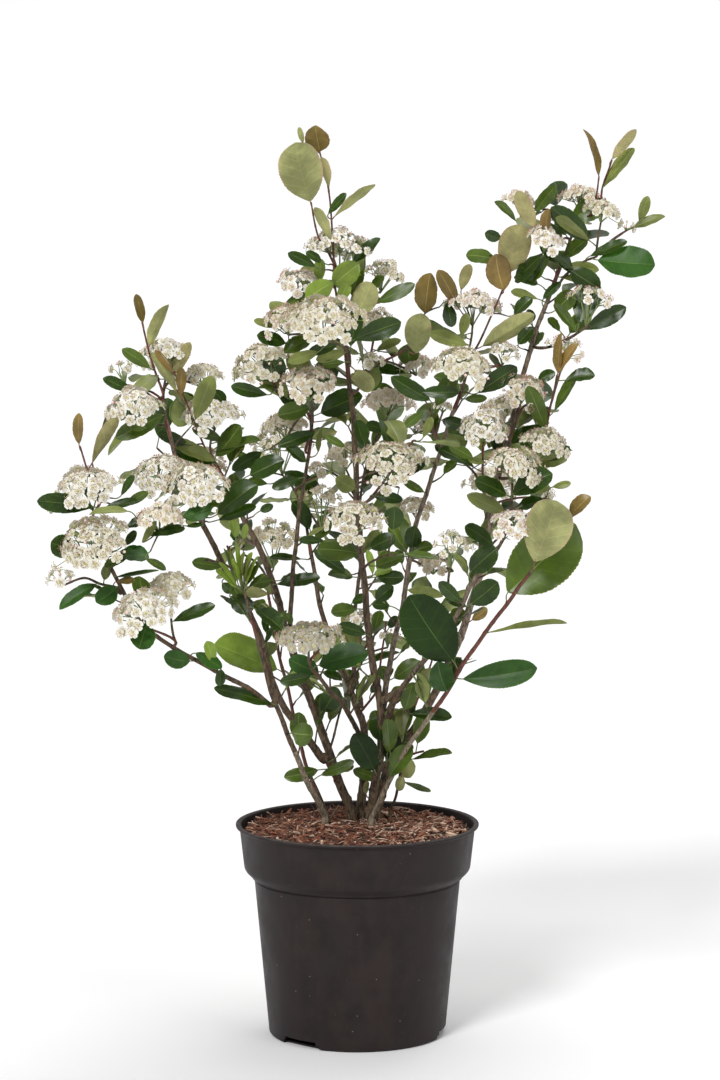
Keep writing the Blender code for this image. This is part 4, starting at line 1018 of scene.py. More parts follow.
seenLeaves = [
    (143, 323, 136, 294, 10, "bronze"), (149, 346, 168, 304, 13, "pale"), (150, 368, 122, 349, 13, "mid"),
    (134, 393, 103, 378, 12, "dark"), (158, 376, 134, 392, 16, "olive"), (177, 392, 152, 352, 14, "pale"),
    (173, 372, 155, 350, 8, "bronze"), (174, 374, 190, 342, 13, "pink"), (181, 397, 181, 367, 11, "bronze"),
    (195, 420, 212, 376, 20, "olive", -0.02), (225, 403, 214, 390, 13, "dark"),
    (92, 463, 117, 417, 13, "pink"), (79, 444, 79, 413, 11, "bronze"), (163, 415, 116, 438, 20, "mid"),
    (146, 428, 128, 423, 12, "mid"), (187, 444, 158, 433, 13, "dark"), (215, 461, 167, 440, 15, "olive"),
    (214, 463, 172, 450, 12, "dark"), (216, 456, 240, 425, 20, "mid"), (216, 451, 260, 439, 10, "mid"),
    (94, 507, 37, 501, 21, "dark"), (104, 508, 138, 500, 10, "dark"), (121, 496, 134, 475, 8, "dark"),
    (128, 511, 89, 514, 8, "olive"), (76, 552, 51, 543, 24, "dark"), (117, 555, 149, 557, 16, "green"),
    (146, 559, 166, 570, 8, "mid"), (127, 527, 146, 521, 10, "dark"), (148, 536, 185, 528, 10, "dark"),
    (183, 517, 212, 508, 17, "green"), (186, 526, 203, 524, 5, "dark"), (218, 514, 257, 484, 24, "dark"),
    (218, 520, 256, 506, 12, "dark"), (204, 500, 222, 500, 14, "mid"), (236, 538, 232, 520, 9, "lime"),
    (243, 540, 246, 524, 7, "lime"), (221, 567, 192, 562, 13, "mid"), (222, 583, 233, 592, 11, "dark"),
    (230, 597, 253, 610, 20, "dark"), (268, 594, 236, 590, 12, "pale"), (96, 584, 59, 609, 14, "green"),
    (117, 587, 96, 602, 20, "green"), (104, 580, 109, 564, 10, "olive"), (142, 542, 156, 521, 8, "olive"),
    (124, 545, 136, 531, 9, "dark"), (115, 577, 159, 570, 5, "dark"), (118, 581, 135, 580, 8, "bronze"),
    (173, 621, 215, 605, 13, "dark"), (148, 623, 139, 649, 26, "green"), (190, 661, 164, 656, 19, "green"),
    (213, 662, 207, 641, 12, "lime"), (196, 653, 222, 668, 14, "green"), (221, 669, 219, 686, 11, "dark"),
    (277, 669, 215, 643, 33, "lime"), (273, 704, 214, 688, 14, "dark"), (236, 585, 219, 562, 5, "lime"),
    (236, 584, 224, 548, 5, "mid"), (240, 583, 236, 541, 5, "lime"), (243, 583, 252, 552, 5, "lime"),
    (246, 586, 259, 564, 6, "mid"), (238, 588, 222, 574, 6, "lime"), (238, 584, 230, 550, 5, "olive"),
    (242, 584, 244, 552, 5, "olive"), (246, 584, 258, 556, 5, "lime"), (238, 586, 216, 570, 5, "lime"),
    (248, 588, 264, 574, 5, "mid"), (240, 580, 232, 558, 5, "lime"), (244, 581, 248, 560, 5, "olive"),
    (310, 201, 295, 142, 44, "pale"), (320, 152, 315, 126, 25, "bronze"), (303, 143, 299, 127, 6, "pale"),
    (329, 188, 322, 157, 10, "pink"), (328, 214, 346, 193, 9, "dark"), (335, 216, 375, 184, 10, "pale"),
    (331, 241, 315, 207, 11, "pale"), (316, 267, 288, 253, 12, "dark"), (320, 281, 321, 259, 12, "lime"),
    (333, 282, 306, 299, 22, "lime"), (333, 285, 359, 264, 24, "lime"), (329, 284, 361, 274, 10, "lime"),
    (352, 296, 362, 268, 13, "mid"), (340, 300, 348, 282, 13, "lime"), (372, 292, 384, 276, 9, "mid"),
    (355, 316, 371, 282, 26, "pale"), (353, 262, 380, 238, 12, "dark"), (378, 302, 415, 284, 14, "mid"),
    (353, 340, 401, 322, 22, "dark"), (377, 350, 401, 340, 9, "olive"), (286, 343, 257, 335, 15, "dark"),
    (276, 328, 254, 320, 8, "olive"), (311, 340, 284, 352, 16, "mid"), (338, 345, 308, 353, 12, "dark"),
    (318, 352, 288, 362, 12, "olive"), (346, 352, 316, 360, 12, "olive"), (345, 362, 322, 365, 9, "mid"),
    (287, 398, 274, 372, 10, "olive"), (395, 396, 378, 385, 12, "mid"), (268, 484, 248, 480, 9, "mid"),
    (372, 446, 380, 425, 10, "mid"), (384, 430, 366, 424, 12, "dark"), (318, 452, 322, 428, 6, "olive"),
    (322, 440, 337, 431, 6, "pale"), (323, 421, 358, 417, 6, "pale"), (268, 395, 231, 386, 14, "dark"),
    (309, 407, 278, 415, 19, "mid"), (321, 413, 362, 395, 26, "dark"), (355, 370, 372, 391, 18, "pale"),
    (315, 433, 278, 446, 14, "dark"), (284, 472, 321, 492, 18, "dark"), (250, 475, 284, 460, 22, "dark"),
    (430, 400, 391, 377, 18, "dark"), (406, 373, 369, 366, 12, "dark"), (422, 392, 459, 392, 14, "dark"),
    (410, 366, 406, 345, 22, "mid"), (416, 353, 421, 313, 27, "pale"), (467, 345, 429, 333, 14, "olive"),
    (425, 313, 430, 273, 24, "bronze"), (457, 305, 438, 270, 16, "bronze"),
    (461, 290, 470, 264, 12, "pink"), (448, 302, 452, 327, 14, "dark"), (461, 337, 467, 313, 11, "olive"),
    (355, 488, 336, 478, 18, "olive"), (365, 445, 357, 420, 15, "dark"), (599, 176, 584, 129, 8, "bronze"),
    (612, 159, 636, 129, 11, "pink"), (603, 187, 634, 148, 12, "olive"), (639, 223, 648, 196, 11, "olive"),
    (634, 227, 665, 216, 10, "olive"), (598, 260, 655, 264, 31, "green"), (589, 240, 551, 207, 22, "dark"),
    (572, 219, 606, 203, 24, "mid"), (535, 227, 517, 191, 17, "pink"), (535, 211, 555, 186, 14, "mid"),
    (545, 232, 549, 209, 12, "bronze"), (590, 241, 556, 217, 12, "olive"), (563, 240, 546, 224, 11, "dark"),
    (558, 262, 585, 274, 10, "dark"), (500, 262, 484, 258, 10, "dark"), (566, 235, 556, 219, 11, "dark"),
    (517, 222, 495, 201, 8, "mid"), (501, 238, 485, 233, 12, "dark"), (496, 259, 466, 255, 15, "mid"),
    (509, 272, 521, 224, 33, "pink"), (504, 290, 496, 254, 26, "bronze"), (584, 330, 626, 307, 18, "dark"),
    (537, 274, 518, 266, 11, "dark"), (538, 284, 514, 277, 12, "dark"), (538, 299, 511, 291, 9, "olive"),
    (566, 258, 587, 239, 14, "mid"), (590, 256, 627, 241, 11, "dark"), (572, 268, 555, 253, 12, "dark"),
    (570, 270, 600, 289, 22, "dark", 0.03), (566, 266, 599, 270, 12, "olive"),
    (560, 277, 586, 282, 7, "olive"), (543, 299, 561, 282, 9, "dark"), (557, 262, 541, 240, 14, "dark"),
    (577, 332, 554, 304, 11, "mid"), (560, 331, 548, 318, 8, "mid"), (556, 310, 574, 291, 20, "mid"),
    (518, 344, 533, 328, 13, "dark"), (483, 346, 534, 314, 20, "pale"), (514, 315, 532, 298, 12, "dark"),
    (459, 389, 434, 376, 14, "mid"), (465, 399, 487, 398, 9, "mid"), (558, 373, 561, 333, 10, "bronze"),
    (558, 373, 577, 343, 9, "bronze"), (554, 411, 580, 368, 12, "mid"), (567, 380, 595, 375, 13, "dark"),
    (538, 381, 555, 372, 12, "dark"), (545, 428, 528, 386, 18, "mid"), (478, 393, 517, 367, 20, "dark"),
    (510, 443, 536, 430, 14, "dark"), (322, 262, 306, 252, 9, "dark"), (306, 292, 286, 308, 12, "mid"),
    (222, 440, 192, 428, 12, "mid"), (262, 452, 232, 470, 14, "dark"), (256, 470, 238, 452, 10, "mid"),
    (300, 478, 272, 488, 12, "dark"), (306, 462, 286, 446, 12, "dark"), (345, 447, 325, 436, 8, "mid"),
    (426, 462, 404, 474, 12, "dark"), (424, 492, 402, 480, 9, "mid"), (124, 506, 148, 492, 10, "mid"),
    (128, 556, 104, 566, 9, "mid"), (424, 411, 404, 427, 10, "mid"), (423, 438, 432, 417, 9, "olive"),
    (442, 420, 464, 426, 14, "dark"), (473, 458, 449, 445, 12, "mid"), (450, 456, 435, 445, 10, "dark"),
    (486, 463, 468, 459, 7, "olive"), (529, 461, 567, 459, 21, "olive"), (513, 494, 552, 473, 24, "dark"),
    (507, 495, 475, 480, 18, "dark"), (505, 512, 467, 495, 16, "olive"), (552, 487, 571, 483, 8, "olive"),
    (518, 508, 543, 500, 13, "dark"), (569, 518, 590, 496, 14, "bronze"), (535, 561, 557, 500, 48, "pale"),
    (508, 592, 576, 524, 62, "mid", -0.11, 0.01), (494, 546, 465, 526, 16, "dark"),
    (470, 572, 497, 548, 24, "dark"), (471, 604, 498, 582, 24, "dark"), (462, 603, 439, 582, 14, "dark"),
    (466, 606, 446, 600, 11, "dark"), (472, 620, 487, 608, 11, "bronze"), (490, 632, 567, 622, 7, "olive"),
    (463, 679, 537, 668, 28, "green"), (453, 661, 409, 596, 52, "deep"), (447, 691, 438, 662, 26, "green"),
    (412, 548, 415, 526, 18, "dark"), (412, 552, 433, 546, 12, "mid"), (435, 570, 454, 571, 5, "dark"),
    (408, 590, 443, 596, 12, "olive"), (302, 559, 270, 557, 8, "dark"), (277, 584, 320, 577, 13, "dark"),
    (272, 580, 252, 585, 13, "mid"), (255, 609, 283, 630, 17, "dark"), (292, 624, 286, 613, 8, "mid"),
    (358, 553, 317, 549, 23, "mid"), (346, 573, 314, 550, 13, "dark"), (353, 577, 328, 574, 12, "mid"),
    (356, 609, 331, 612, 14, "mid"), (352, 603, 368, 597, 10, "dark"), (390, 606, 372, 604, 11, "dark"),
    (373, 574, 367, 550, 8, "lime"), (374, 575, 392, 569, 9, "lime"), (376, 566, 404, 557, 16, "mid"),
    (377, 577, 404, 577, 15, "dark"), (376, 600, 393, 586, 16, "dark"), (404, 547, 389, 523, 7, "lime"),
    (406, 554, 439, 559, 8, "mid"), (312, 676, 280, 682, 13, "dark"), (319, 674, 289, 659, 20, "green"),
    (319, 665, 368, 653, 27, "green"), (366, 634, 338, 625, 13, "dark"), (323, 672, 342, 680, 10, "dark"),
    (322, 712, 338, 688, 22, "dark"), (292, 733, 313, 735, 24, "mid"), (318, 770, 284, 777, 15, "mid"),
    (321, 775, 354, 761, 12, "mid"), (375, 771, 354, 734, 27, "deep"), (379, 780, 353, 770, 12, "mid"),
    (366, 794, 367, 781, 6, "pale"), (390, 776, 411, 746, 20, "mid"), (413, 759, 452, 752, 9, "mid"),
    (402, 775, 399, 791, 10, "pale"), (405, 782, 431, 791, 6, "mid"), (390, 752, 387, 719, 15, "mid"),
    (411, 714, 452, 717, 14, "dark"), (405, 710, 412, 686, 16, "mid"), (394, 678, 419, 661, 18, "mid"),
    (420, 689, 434, 668, 14, "pale"), (371, 693, 377, 683, 8, "dark"), (389, 628, 397, 616, 9, "dark"),
    (393, 530, 394, 507, 20, "dark"), (370, 548, 395, 536, 17, "dark"), (373, 495, 403, 500, 12, "dark"),
    (310, 529, 293, 501, 16, "dark"), (315, 538, 331, 521, 12, "mid"), (325, 541, 299, 540, 9, "dark"),
    (260, 511, 273, 505, 9, "dark"),
]
underKinds = ("pale", "pink")  # kinds whose underside faces the camera


def placeSeenLeaves():
    wood = woodPoints(shoots)
    for number, (footPx, footPy, tipPx, tipPy, wide, kind, *given) in enumerate(seenLeaves):
        seeded = random.Random(f"seen leaf {number}")
        inward = unit(np.array([footPx - tipPx, footPy - tipPy]))
        start = nearestWood(wood, footPx + 5 * inward[0], footPy + 5 * inward[1] + 2, *given[:1])
        forwardStep = seeded.uniform(0.002, 0.012)
        isBehind = len(given) > 1
        base = spot(footPx, footPy, start[1] + (given[1] if isBehind else -forwardStep))
        scale = np.linalg.norm(base - eye) / focal
        seenLength, seenWidth = math.hypot(tipPx - footPx, tipPy - footPy) * scale, wide * scale
        isNarrow = seenWidth < 0.45 * seenLength
        trueLength = max(seenLength, seenWidth / (leafValues["widthShare"] + 0.08)) * 1.01
        share = leafValues["narrowShare" if isNarrow else "widthShare"]
        if seenWidth < 0.15 * seenLength:
            share = leafValues["edgeShare"]
        trueWidth = max(share * trueLength, seenWidth)
        toward = math.sqrt(max(trueLength ** 2 - seenLength ** 2, 0.0))
        tip = spot(tipPx, tipPy, base[1] + (toward if isBehind else -toward))
        view, forward = unit(eye - base), unit(tip - base)
        across = unit(np.cross(forward, view))
        across = -across if across[2] < 0 else across
        facing = unit(np.cross(across, forward))
        facing = -facing if np.dot(facing, view) < 0 else facing
        turned = min(1.0, seenWidth / trueWidth)
        face = facing * (-turned if kind in underKinds else turned) + math.sqrt(1.0 - turned ** 2) * across
        variant = seeded.randrange(plainFrom if isNarrow else plainFrom // 2)
        if wide >= leafValues["largeFrom"]:
            variant = len(leafShapes) - (2 if isNarrow else 4) + number % 2
        addLeaf(start, kind, base, tip, face, trueWidth, variant)


# Parts of the picture where the photo shows sky or a bare leaf, as pixel of the middle and radius; a leaf
# of the rule stays out of them
skyValues = [
    (250, 640, 14), (345, 560, 8), (300, 600, 12), (340, 600, 10), (430, 620, 8), (235, 730, 60),
    (470, 740, 50), (540, 640, 30), (600, 560, 60), (250, 320, 20), (240, 400, 10), (420, 250, 60),
    (140, 690, 60), (640, 420, 60), (60, 380, 40), (230, 540, 9), (455, 500, 14), (300, 640, 12),
    (525, 175, 18), (330, 480, 8), (275, 517, 9), (455, 477, 9), (460, 517, 10), (455, 565, 10),
    (220, 620, 16), (190, 580, 12), (140, 445, 10), (240, 385, 14), (230, 415, 10), (315, 755, 14),
    (345, 735, 10), (400, 302, 10), (560, 440, 9), (122, 570, 12), (98, 612, 6), (187, 643, 9),
    (563, 418, 14), (585, 455, 12), (590, 340, 10), (200, 640, 10), (450, 565, 9), (500, 625, 10),
    (143, 512, 6), (244, 500, 8), (285, 600, 8), (356, 722, 12), (240, 655, 12), (332, 748, 10),
    (328, 584, 9), (350, 590, 7), (440, 522, 15), (432, 536, 8), (482, 348, 9), (502, 337, 10),
    (534, 591, 12), (192, 543, 14), (512, 250, 12), (517, 558, 17), (508, 622, 8), (497, 598, 14),
    (494, 622, 11), (564, 472, 8), (474, 516, 9),
]


def inSky(point):
    px, py = toPixels(point)
    return any(math.hypot(px - x, py - y) < radius for x, y, radius in skyValues)


def hidesBlossom(points):
    # True where a leaf would stand in front of a head.
    seen = toPixels(points)
    for shoot in shoots:
        if shoot["kind"] != "head":
            continue
        px, py = toPixels(shoot["tip"] + up * 0.1 * shoot["size"])
        near = np.hypot(seen[:, 0] - px, (seen[:, 1] - py) * 1.25) < 0.52 * shoot["size"] * focal / -eye[1]
        if np.any(near & (points[:, 1] < shoot["tip"][1] + 0.2 * shoot["size"])):
            return True
    return False


def isFree(tip, other, *more):
    # A leaf of the rule keeps inside the solids' box, out of the sky and from in front of the blossom.
    low, high = np.array(cadBox[0]) + 0.002, np.array(cadBox[1]) - 0.002
    if np.any(tip < low) or np.any(tip > high) or any(inSky(point) for point in (tip, other, *more)):
        return False
    return not hidesBlossom(np.array([other, tip]))


def outwards(along, turn, tries):
    # Directions square to a shoot, each a golden turn on from the last, with the turn that each has.
    across = unit(np.cross(along, [0.3, 0.9, 0.1]))
    other = np.cross(along, across)
    for _ in range(tries):
        turn += goldenTurn
        yield turn, math.cos(turn) * across + math.sin(turn) * other


def leafPlaces(shoot, seeded):
    # Share of the shoot's length, leaf length and lean off the shoot, from its tip down.
    isTuft = shoot["kind"] == "tuft"
    reach = lengthsAlong(shoot["route"])[-1]
    count = max(leafValues["fewestLeaves"], min(leafValues["mostLeaves"],
                                                int(0.75 * reach / leafValues["leafRung"])))
    longest = shoot["size"] if isTuft else leafValues["headLeaf"]
    return [((1.0 if isTuft else 0.8) - 0.7 * rung / count, longest * seeded.uniform(0.78, 1.08),
             math.radians(seeded.uniform(*leafValues["lean"]))) for rung in range(count)]


def plainVariant(seeded):
    return plainFrom + seeded.randrange(leafValues["plainVariants"])


def placeRuleLeaves():
    # The photo's own leaves fill the front, so the rule's leaves grow to the sides and the back.
    kinds = ("dark", "dark", "mid", "dark", "mid", "olive")
    for number, shoot in enumerate(shoots):
        if shoot["kind"] in ("leader", "dead", "leaf") or shoot["mass"] == "extra":
            continue
        seeded = random.Random(f"rule leaves {number}")
        turn = seeded.uniform(0, math.tau)
        for fraction, length, lean in leafPlaces(shoot, seeded):
            place, along = pointAlong(shoot["route"], fraction)
            for turn, outward in outwards(along, turn, 8):
                forward = unit(along * math.cos(lean) + outward * math.sin(lean))
                forward = unit(forward - up * 0.25 * forward[2])
                base = place + forward * seeded.uniform(0.008, 0.014)
                tip = base + forward * length
                middle = (base + tip) / 2
                if forward[1] < 0.12 or middle[1] < -0.05 or not isFree(tip, middle, base):
                    continue
                face = unit(up * 0.8 + along * 0.4 + np.cross(outward, along) * seeded.uniform(-0.3, 0.3))
                if abs(np.dot(face, forward)) > 0.95:
                    face = outward
                width = length * seeded.uniform(0.54, 0.66)
                addLeaf(place, kinds[(number + len(leaves)) % len(kinds)], base, tip, face, width,
                        plainVariant(seeded))
                break


spurValues = {
    "gap": 0.03,
    "lowest": 0.285,
    "length": (0.018, 0.036),
    "reach": (0.008, 0.022),
    "radii": (0.0011, 0.0008),
}


def placeSpurLeaves():
    # Short spurs with one to three small leaves along the bare limbs, round the sides and the back.
    spurs = []
    for name, (route, _) in limbs.items():
        seeded = random.Random(f"spurs {name}")
        total = lengthsAlong(route)[-1]
        place = seeded.uniform(0.5, 1.0) * spurValues["gap"]
        turn = seeded.uniform(0, math.tau)
        while place < total:
            start, along = pointAlong(route, place / total)
            place += spurValues["gap"] * seeded.uniform(0.7, 1.3)
            if start[2] < spurValues["lowest"]:
                continue
            for turn, outward in outwards(along, turn, 6):
                if outward[1] > 0.1:
                    break
            else:
                continue
            heading = unit(outward + along * 0.6 + up * 0.3)
            end = start + heading * seeded.uniform(*spurValues["reach"])
            before = len(leaves)
            for _ in range(seeded.choice((1, 2, 2, 3))):
                spin = seeded.uniform(-1.0, 1.0)
                forward = unit(heading + up * seeded.uniform(-0.2, 0.5) + np.cross(heading, up) * spin)
                length = seeded.uniform(*spurValues["length"])
                base = end + forward * 0.005
                tip = base + forward * length
                if not isFree(tip, base):
                    continue
                face = unit(up + heading * 0.3 + outward * seeded.uniform(-0.3, 0.3))
                kind = ("dark", "mid", "mid", "olive")[seeded.randrange(4)]
                addLeaf(end, kind, base, tip, face, length * seeded.uniform(0.52, 0.64),
                        plainVariant(seeded))
            if len(leaves) > before:
                spurs.append((start, end))
    twiglets.extend((start, (start + end) / 2 - up * 0.001, end) for start, end in spurs)


placeSeenLeaves()
placeRuleLeaves()
placeSpurLeaves()
makePiece("spurs", [stalks(*zip(*twiglets), *spurValues["radii"], 6, 5)], [barkMaterials[1]], "bark",
          foliageNodes)
print(f"{len(leaves)} leaves placed")


# Leaf finishes

leafLooks = {  # the upper side, its midrib, the underside and the upper side's roughness
    "dark": ((0.018, 0.039, 0.003), (0.08, 0.115, 0.022), (0.17, 0.2, 0.065), 0.3),
    # deep is a darker, less shiny copy of dark for two large leaves: painted shade.
    "deep": ((0.009, 0.024, 0.002), (0.046, 0.08, 0.018), (0.17, 0.2, 0.065), 0.36),
    "mid": ((0.056, 0.09, 0.01), (0.15, 0.2, 0.045), (0.23, 0.26, 0.09), 0.32),
    "green": ((0.022, 0.068, 0.008), (0.08, 0.14, 0.03), (0.18, 0.23, 0.08), 0.42),
    "lime": ((0.165, 0.235, 0.032), (0.28, 0.38, 0.09), (0.36, 0.42, 0.15), 0.4),
    "olive": ((0.145, 0.165, 0.042), (0.22, 0.24, 0.08), (0.26, 0.27, 0.12), 0.4),
    "bronze": ((0.19, 0.12, 0.035), (0.34, 0.25, 0.1), (0.33, 0.25, 0.12), 0.34),
    "pale": ((0.06, 0.12, 0.02), (0.15, 0.22, 0.06), (0.285, 0.285, 0.125), 0.36),
    "pink": ((0.16, 0.1, 0.03), (0.3, 0.14, 0.07), (0.295, 0.262, 0.125), 0.4),
}
leafEdges = {"bronze": (0.15, 0.055, 0.028), "pale": (0.33, 0.25, 0.14), "pink": (0.33, 0.19, 0.12)}
leafShine = {"deep": 0.2, "green": 0.24}  # of the upper side, where it isn't the usual
usualShine = 0.32
redStalked = ("bronze", "pink", "pale")


def makeLeafMaterials(kind):
    upper, rib, under, gloss = leafLooks[kind]
    underRib = tuple(min(1.0, value * 1.18) for value in under)
    vein = tuple(0.88 * a + 0.12 * b for a, b in zip(upper, rib))
    made = []
    for part, colour in (("Upper", upper), ("Rib", rib), ("Under", under), ("UnderRib", underRib),
                         ("Edge", leafEdges.get(kind, upper)), ("Vein", vein)):
        isUpper = not part.startswith("Under")
        made.append(toned(f"leaf{kind.capitalize()}{part}", colour, gloss if isUpper else 0.62,
                          {"Scale": 26.0, "Darker": 0.66, "Lighter": 1.42, "Detail": 7.0},
                          {"Scale": 900.0, "Strength": 0.2 if isUpper else 0.4, "Depth": 0.00025},
                          Specular_IOR_Level=leafShine.get(kind, usualShine) if isUpper else 0.2,
                          Subsurface_Weight=0.22, Subsurface_Radius=(0.0014, 0.0018, 0.0006),
                          Subsurface_Scale=1.0))
    return made


def makeLeaves():
    for kind in leafLooks:
        parts = []
        for variant, (template, faces, slots, isUnder) in enumerate(leafShapes):
            picked = [leaf for leaf in leaves if leaf["kind"] == kind and leaf["variant"] == variant]
            if not picked:
                continue
            sizes = [(leaf["width"], leaf["length"], min(leaf["length"], 1.8 * leaf["width"]))
                     for leaf in picked]
            axes = [np.array(axis) for axis in zip(*(leaf["axes"] for leaf in picked))]
            points, groups = copies(template, [(faces, np.tile(slots, len(picked)))],
                                    [leaf["base"] for leaf in picked], axes, sizes)
            thickness = isUnder[None, :, None] * leafValues["thickness"]
            parts.append((points - axes[2][:, None] * thickness, groups))
        makePiece(f"leaves{kind.capitalize()}", parts, makeLeafMaterials(kind), "foliage", foliageNodes,
                  sharpAngle=70)


def makePetioles():
    parts, materials = [], []
    colours = {"Green": (0.12, 0.15, 0.05), "Red": (0.19, 0.07, 0.04)}
    for slot, (name, colour) in enumerate(colours.items()):
        materials.append(toned(f"petiole{name}", colour, 0.45, {"Scale": 300.0}, {"Scale": 900.0}))
        picked = [stalk[:3] for stalk in petioles if (stalk[3] in redStalked) == (name == "Red")]
        parts.append(stalks(*zip(*picked), *leafValues["petioleRadii"], 5, 5, slot))
    makePiece("petioles", parts, materials, "foliage", foliageNodes)


makeLeaves()
makePetioles()
print("leaves made")


# Blossom: dense heads of small five-petalled flowers on branched green stalks

flowerValues = {
    "radius": 0.0061,
    "areaEach": 0.000064,  # of the head's dome, for one flower
    "budShare": 0.1,
    "budRadius": 0.0017,
    "rimDrop": 0.05,
    "spread": 1.1,
    "domeArea": 1.25,  # to that of the circle under it
    "rays": 5,  # round the one in the middle
    "rayReach": 0.68,  # of the head's radius
    "fork": 0.55,  # where a ray forks, a share of its reach
    "gather": 0.1,  # how far the flowers draw in to their ray
    "lobeLift": 0.04,
    "smallHead": 0.03,  # one less wide than this is young and has more buds
    "youngBuds": 3.0,
    "stamens": 13,
    "filament": (0.0024, 0.0038),
    "filamentHalf": 0.00016,  # half its width
    "anther": (0.00075, 0.00051, 0.00048),
    "stalkRadii": (0.0005, 0.0004),
    "rayRadii": (0.00085, 0.00065),
    "petalKinds": 4,
    # The tan petals are a darker copy of the white, for heads at the back: painted shade.
    "petalTones": ("petalWhite", "petalCream", "petalShadeTan", "petalShadeGrey"),
    "antherTones": ("antherPink", "antherTan", "antherBrown"),
    "shadedBehind": 0.085,  # heads this far back take the tan petals: painted shade
    "tones": [  # pixel of a head and the place of its petals' tone in the list above; the grey tone, 3, is painted shade
        (308, 640, 3), (327, 316, 1), (283, 320, 1), (312, 386, 1), (257, 366, 1), (462, 367, 1),
        (280, 445, 1), (514, 466, 1), (389, 466, 1)],
    "mostTriangles": 150000,  # in a piece, before the next one starts
}
# The grey petals are a darker copy of the white, for one head: painted shade.
shadeGreyTone = 3


def petalShape(variant):
    # Five cupped round petals, in units of the flower's radius.
    seeded = random.Random(f"petal {variant}")
    along = np.array([0.0, 0.3, 0.6, 0.86, 1.0])[:, None]
    half = np.array([0.09, 0.31, 0.45, 0.4, 0.17])[:, None]
    across = np.array([[-1.0, 0.0, 1.0]])
    points, quads = [], []
    for petal in range(5):
        turn = petal * math.tau / 5 + seeded.uniform(-0.1, 0.1)
        lift, cup = seeded.uniform(0.0, 0.16), seeded.uniform(0.04, 0.16)
        x = across * half * seeded.uniform(0.92, 1.08)
        y = (0.13 + 0.87 * along) * seeded.uniform(0.92, 1.04) * np.ones((1, 3))
        z = lift * along - 0.9 * cup * along ** 2.4 + cup * np.abs(across) * (along > 0.1)
        z = z + 0.03 * (petal % 2) * along
        points.append(np.stack([x * math.cos(turn) - y * math.sin(turn),
                                x * math.sin(turn) + y * math.cos(turn), z], axis=-1).reshape(-1, 3))
        quads.append(gridFaces(5, 3) + petal * 15)
    return np.concatenate(points), np.concatenate(quads)


def discShape():
    # The cup under the petals and the raised middle: a closed body of two cones and a ring.
    turn = turnsOf(6)
    rim = np.stack([np.cos(turn), np.sin(turn), np.zeros(6)], axis=1)
    points = np.concatenate([rim * [0.23, 0.23, 0] + [0, 0, 0.07], rim * [0.25, 0.25, 0] + [0, 0, -0.08],
                             [[0, 0, 0.1]], [[0, 0, -0.42]]])
    return points, gridFaces(2, 6, closed=True)[:, ::-1], capFaces(2, 6)[:, ::-1]


def beadShape():
    # A four-faced bead.
    points = np.array([[1, 1, 1], [-1, -1, 1], [-1, 1, -1], [1, -1, -1]], float) * 0.75
    return points, np.array([[0, 2, 1], [0, 1, 3], [0, 3, 2], [1, 2, 3]])


def petalTone(number, middle):
    usual = 1 if number % 3 == 1 else 0
    # Heads far back take the tan petals: painted shade.
    if middle[1] > flowerValues["shadedBehind"] and number % 4 != 2:
        usual = 2
    return listedFor(middle, flowerValues["tones"], (usual,))[0]


def planHead(number, shoot):
    # Where the head's flowers sit, which way they face and where their stalks start.
    seeded = np.random.default_rng(1000 + number)
    width, middle = shoot["size"], shoot["tip"]
    axis = headAxis(middle)
    side = unit(np.cross(axis, [0.2, 1.0, 0.1]))
    other = np.cross(axis, side)
    reach = width / 2 * flowerValues["spread"]
    stalk, scale, fullness, rise = headForm(middle)
    many = max(3, int(fullness * math.pi * (width / 2) ** 2 * flowerValues["domeArea"]
                      / flowerValues["areaEach"]))
    index = np.arange(many)
    radius = np.sqrt((index + 0.5) / many)
    turn = index * goldenTurn + seeded.uniform(0, math.tau)
    ragged = 1 + 0.1 * np.sin(turn * 3 + seeded.uniform(0, 6)) + seeded.normal(0, 0.05, many)
    flat = np.stack([radius * np.cos(turn), radius * np.sin(turn)], axis=1) * ragged[:, None]
    flat += seeded.normal(0, 0.03, flat.shape)
    rayTurn = turnsOf(flowerValues["rays"])
    lobes = flowerValues["rayReach"] * np.stack([np.cos(rayTurn), np.sin(rayTurn)], axis=1)
    lobes = np.concatenate([[[0.0, 0.0]], lobes])
    lobes = lobes + seeded.normal(0, 0.06, lobes.shape)
    nearest = np.argmin(np.linalg.norm(flat[:, None] - lobes[None], axis=-1), axis=1)
    lift = seeded.normal(0, flowerValues["lobeLift"], len(lobes))
    flat = flat + flowerValues["gather"] * (lobes[nearest] - flat)
    outward = np.linalg.norm(flat, axis=1)
    height = rise * (1 - outward ** 2) - flowerValues["rimDrop"] + lift[nearest]
    height = height + seeded.normal(0, 0.018, many)
    offset = flat[:, :1] * side + flat[:, 1:] * other
    facing = axis * (1.0 - 0.72 * outward)[:, None] + offset * 1.25 + seeded.normal(0, 0.15, (many, 3))
    foot = middle - axis * (stalk * width)
    rays = lobes[:, :1] * side + lobes[:, 1:] * other
    isYoung = width < flowerValues["smallHead"]
    budShare = flowerValues["budShare"] * (flowerValues["youngBuds"] if isYoung else 1.0)
    return {"places": middle + offset * reach + axis * (height * width)[:, None], "facing": unit(facing),
            "foot": foot,
            "rays": foot + rays * reach * flowerValues["fork"] + axis * ((stalk - 0.06) * width),
            "lobe": nearest, "axis": axis, "isBud": seeded.random(many) < budShare,
            "size": scale * seeded.normal(1.0, 0.06, many), "spin": seeded.uniform(0, math.tau, many),
            "kind": int(seeded.integers(0, 3)), "tone": petalTone(number, middle),
            "petal": seeded.integers(0, flowerValues["petalKinds"], many)}


heads = [planHead(number, shoot) for number, shoot in enumerate(shoots) if shoot["kind"] == "head"]
flowerCount = sum(len(head["places"]) for head in heads)
print(f"{len(heads)} heads with {flowerCount} flowers planned")


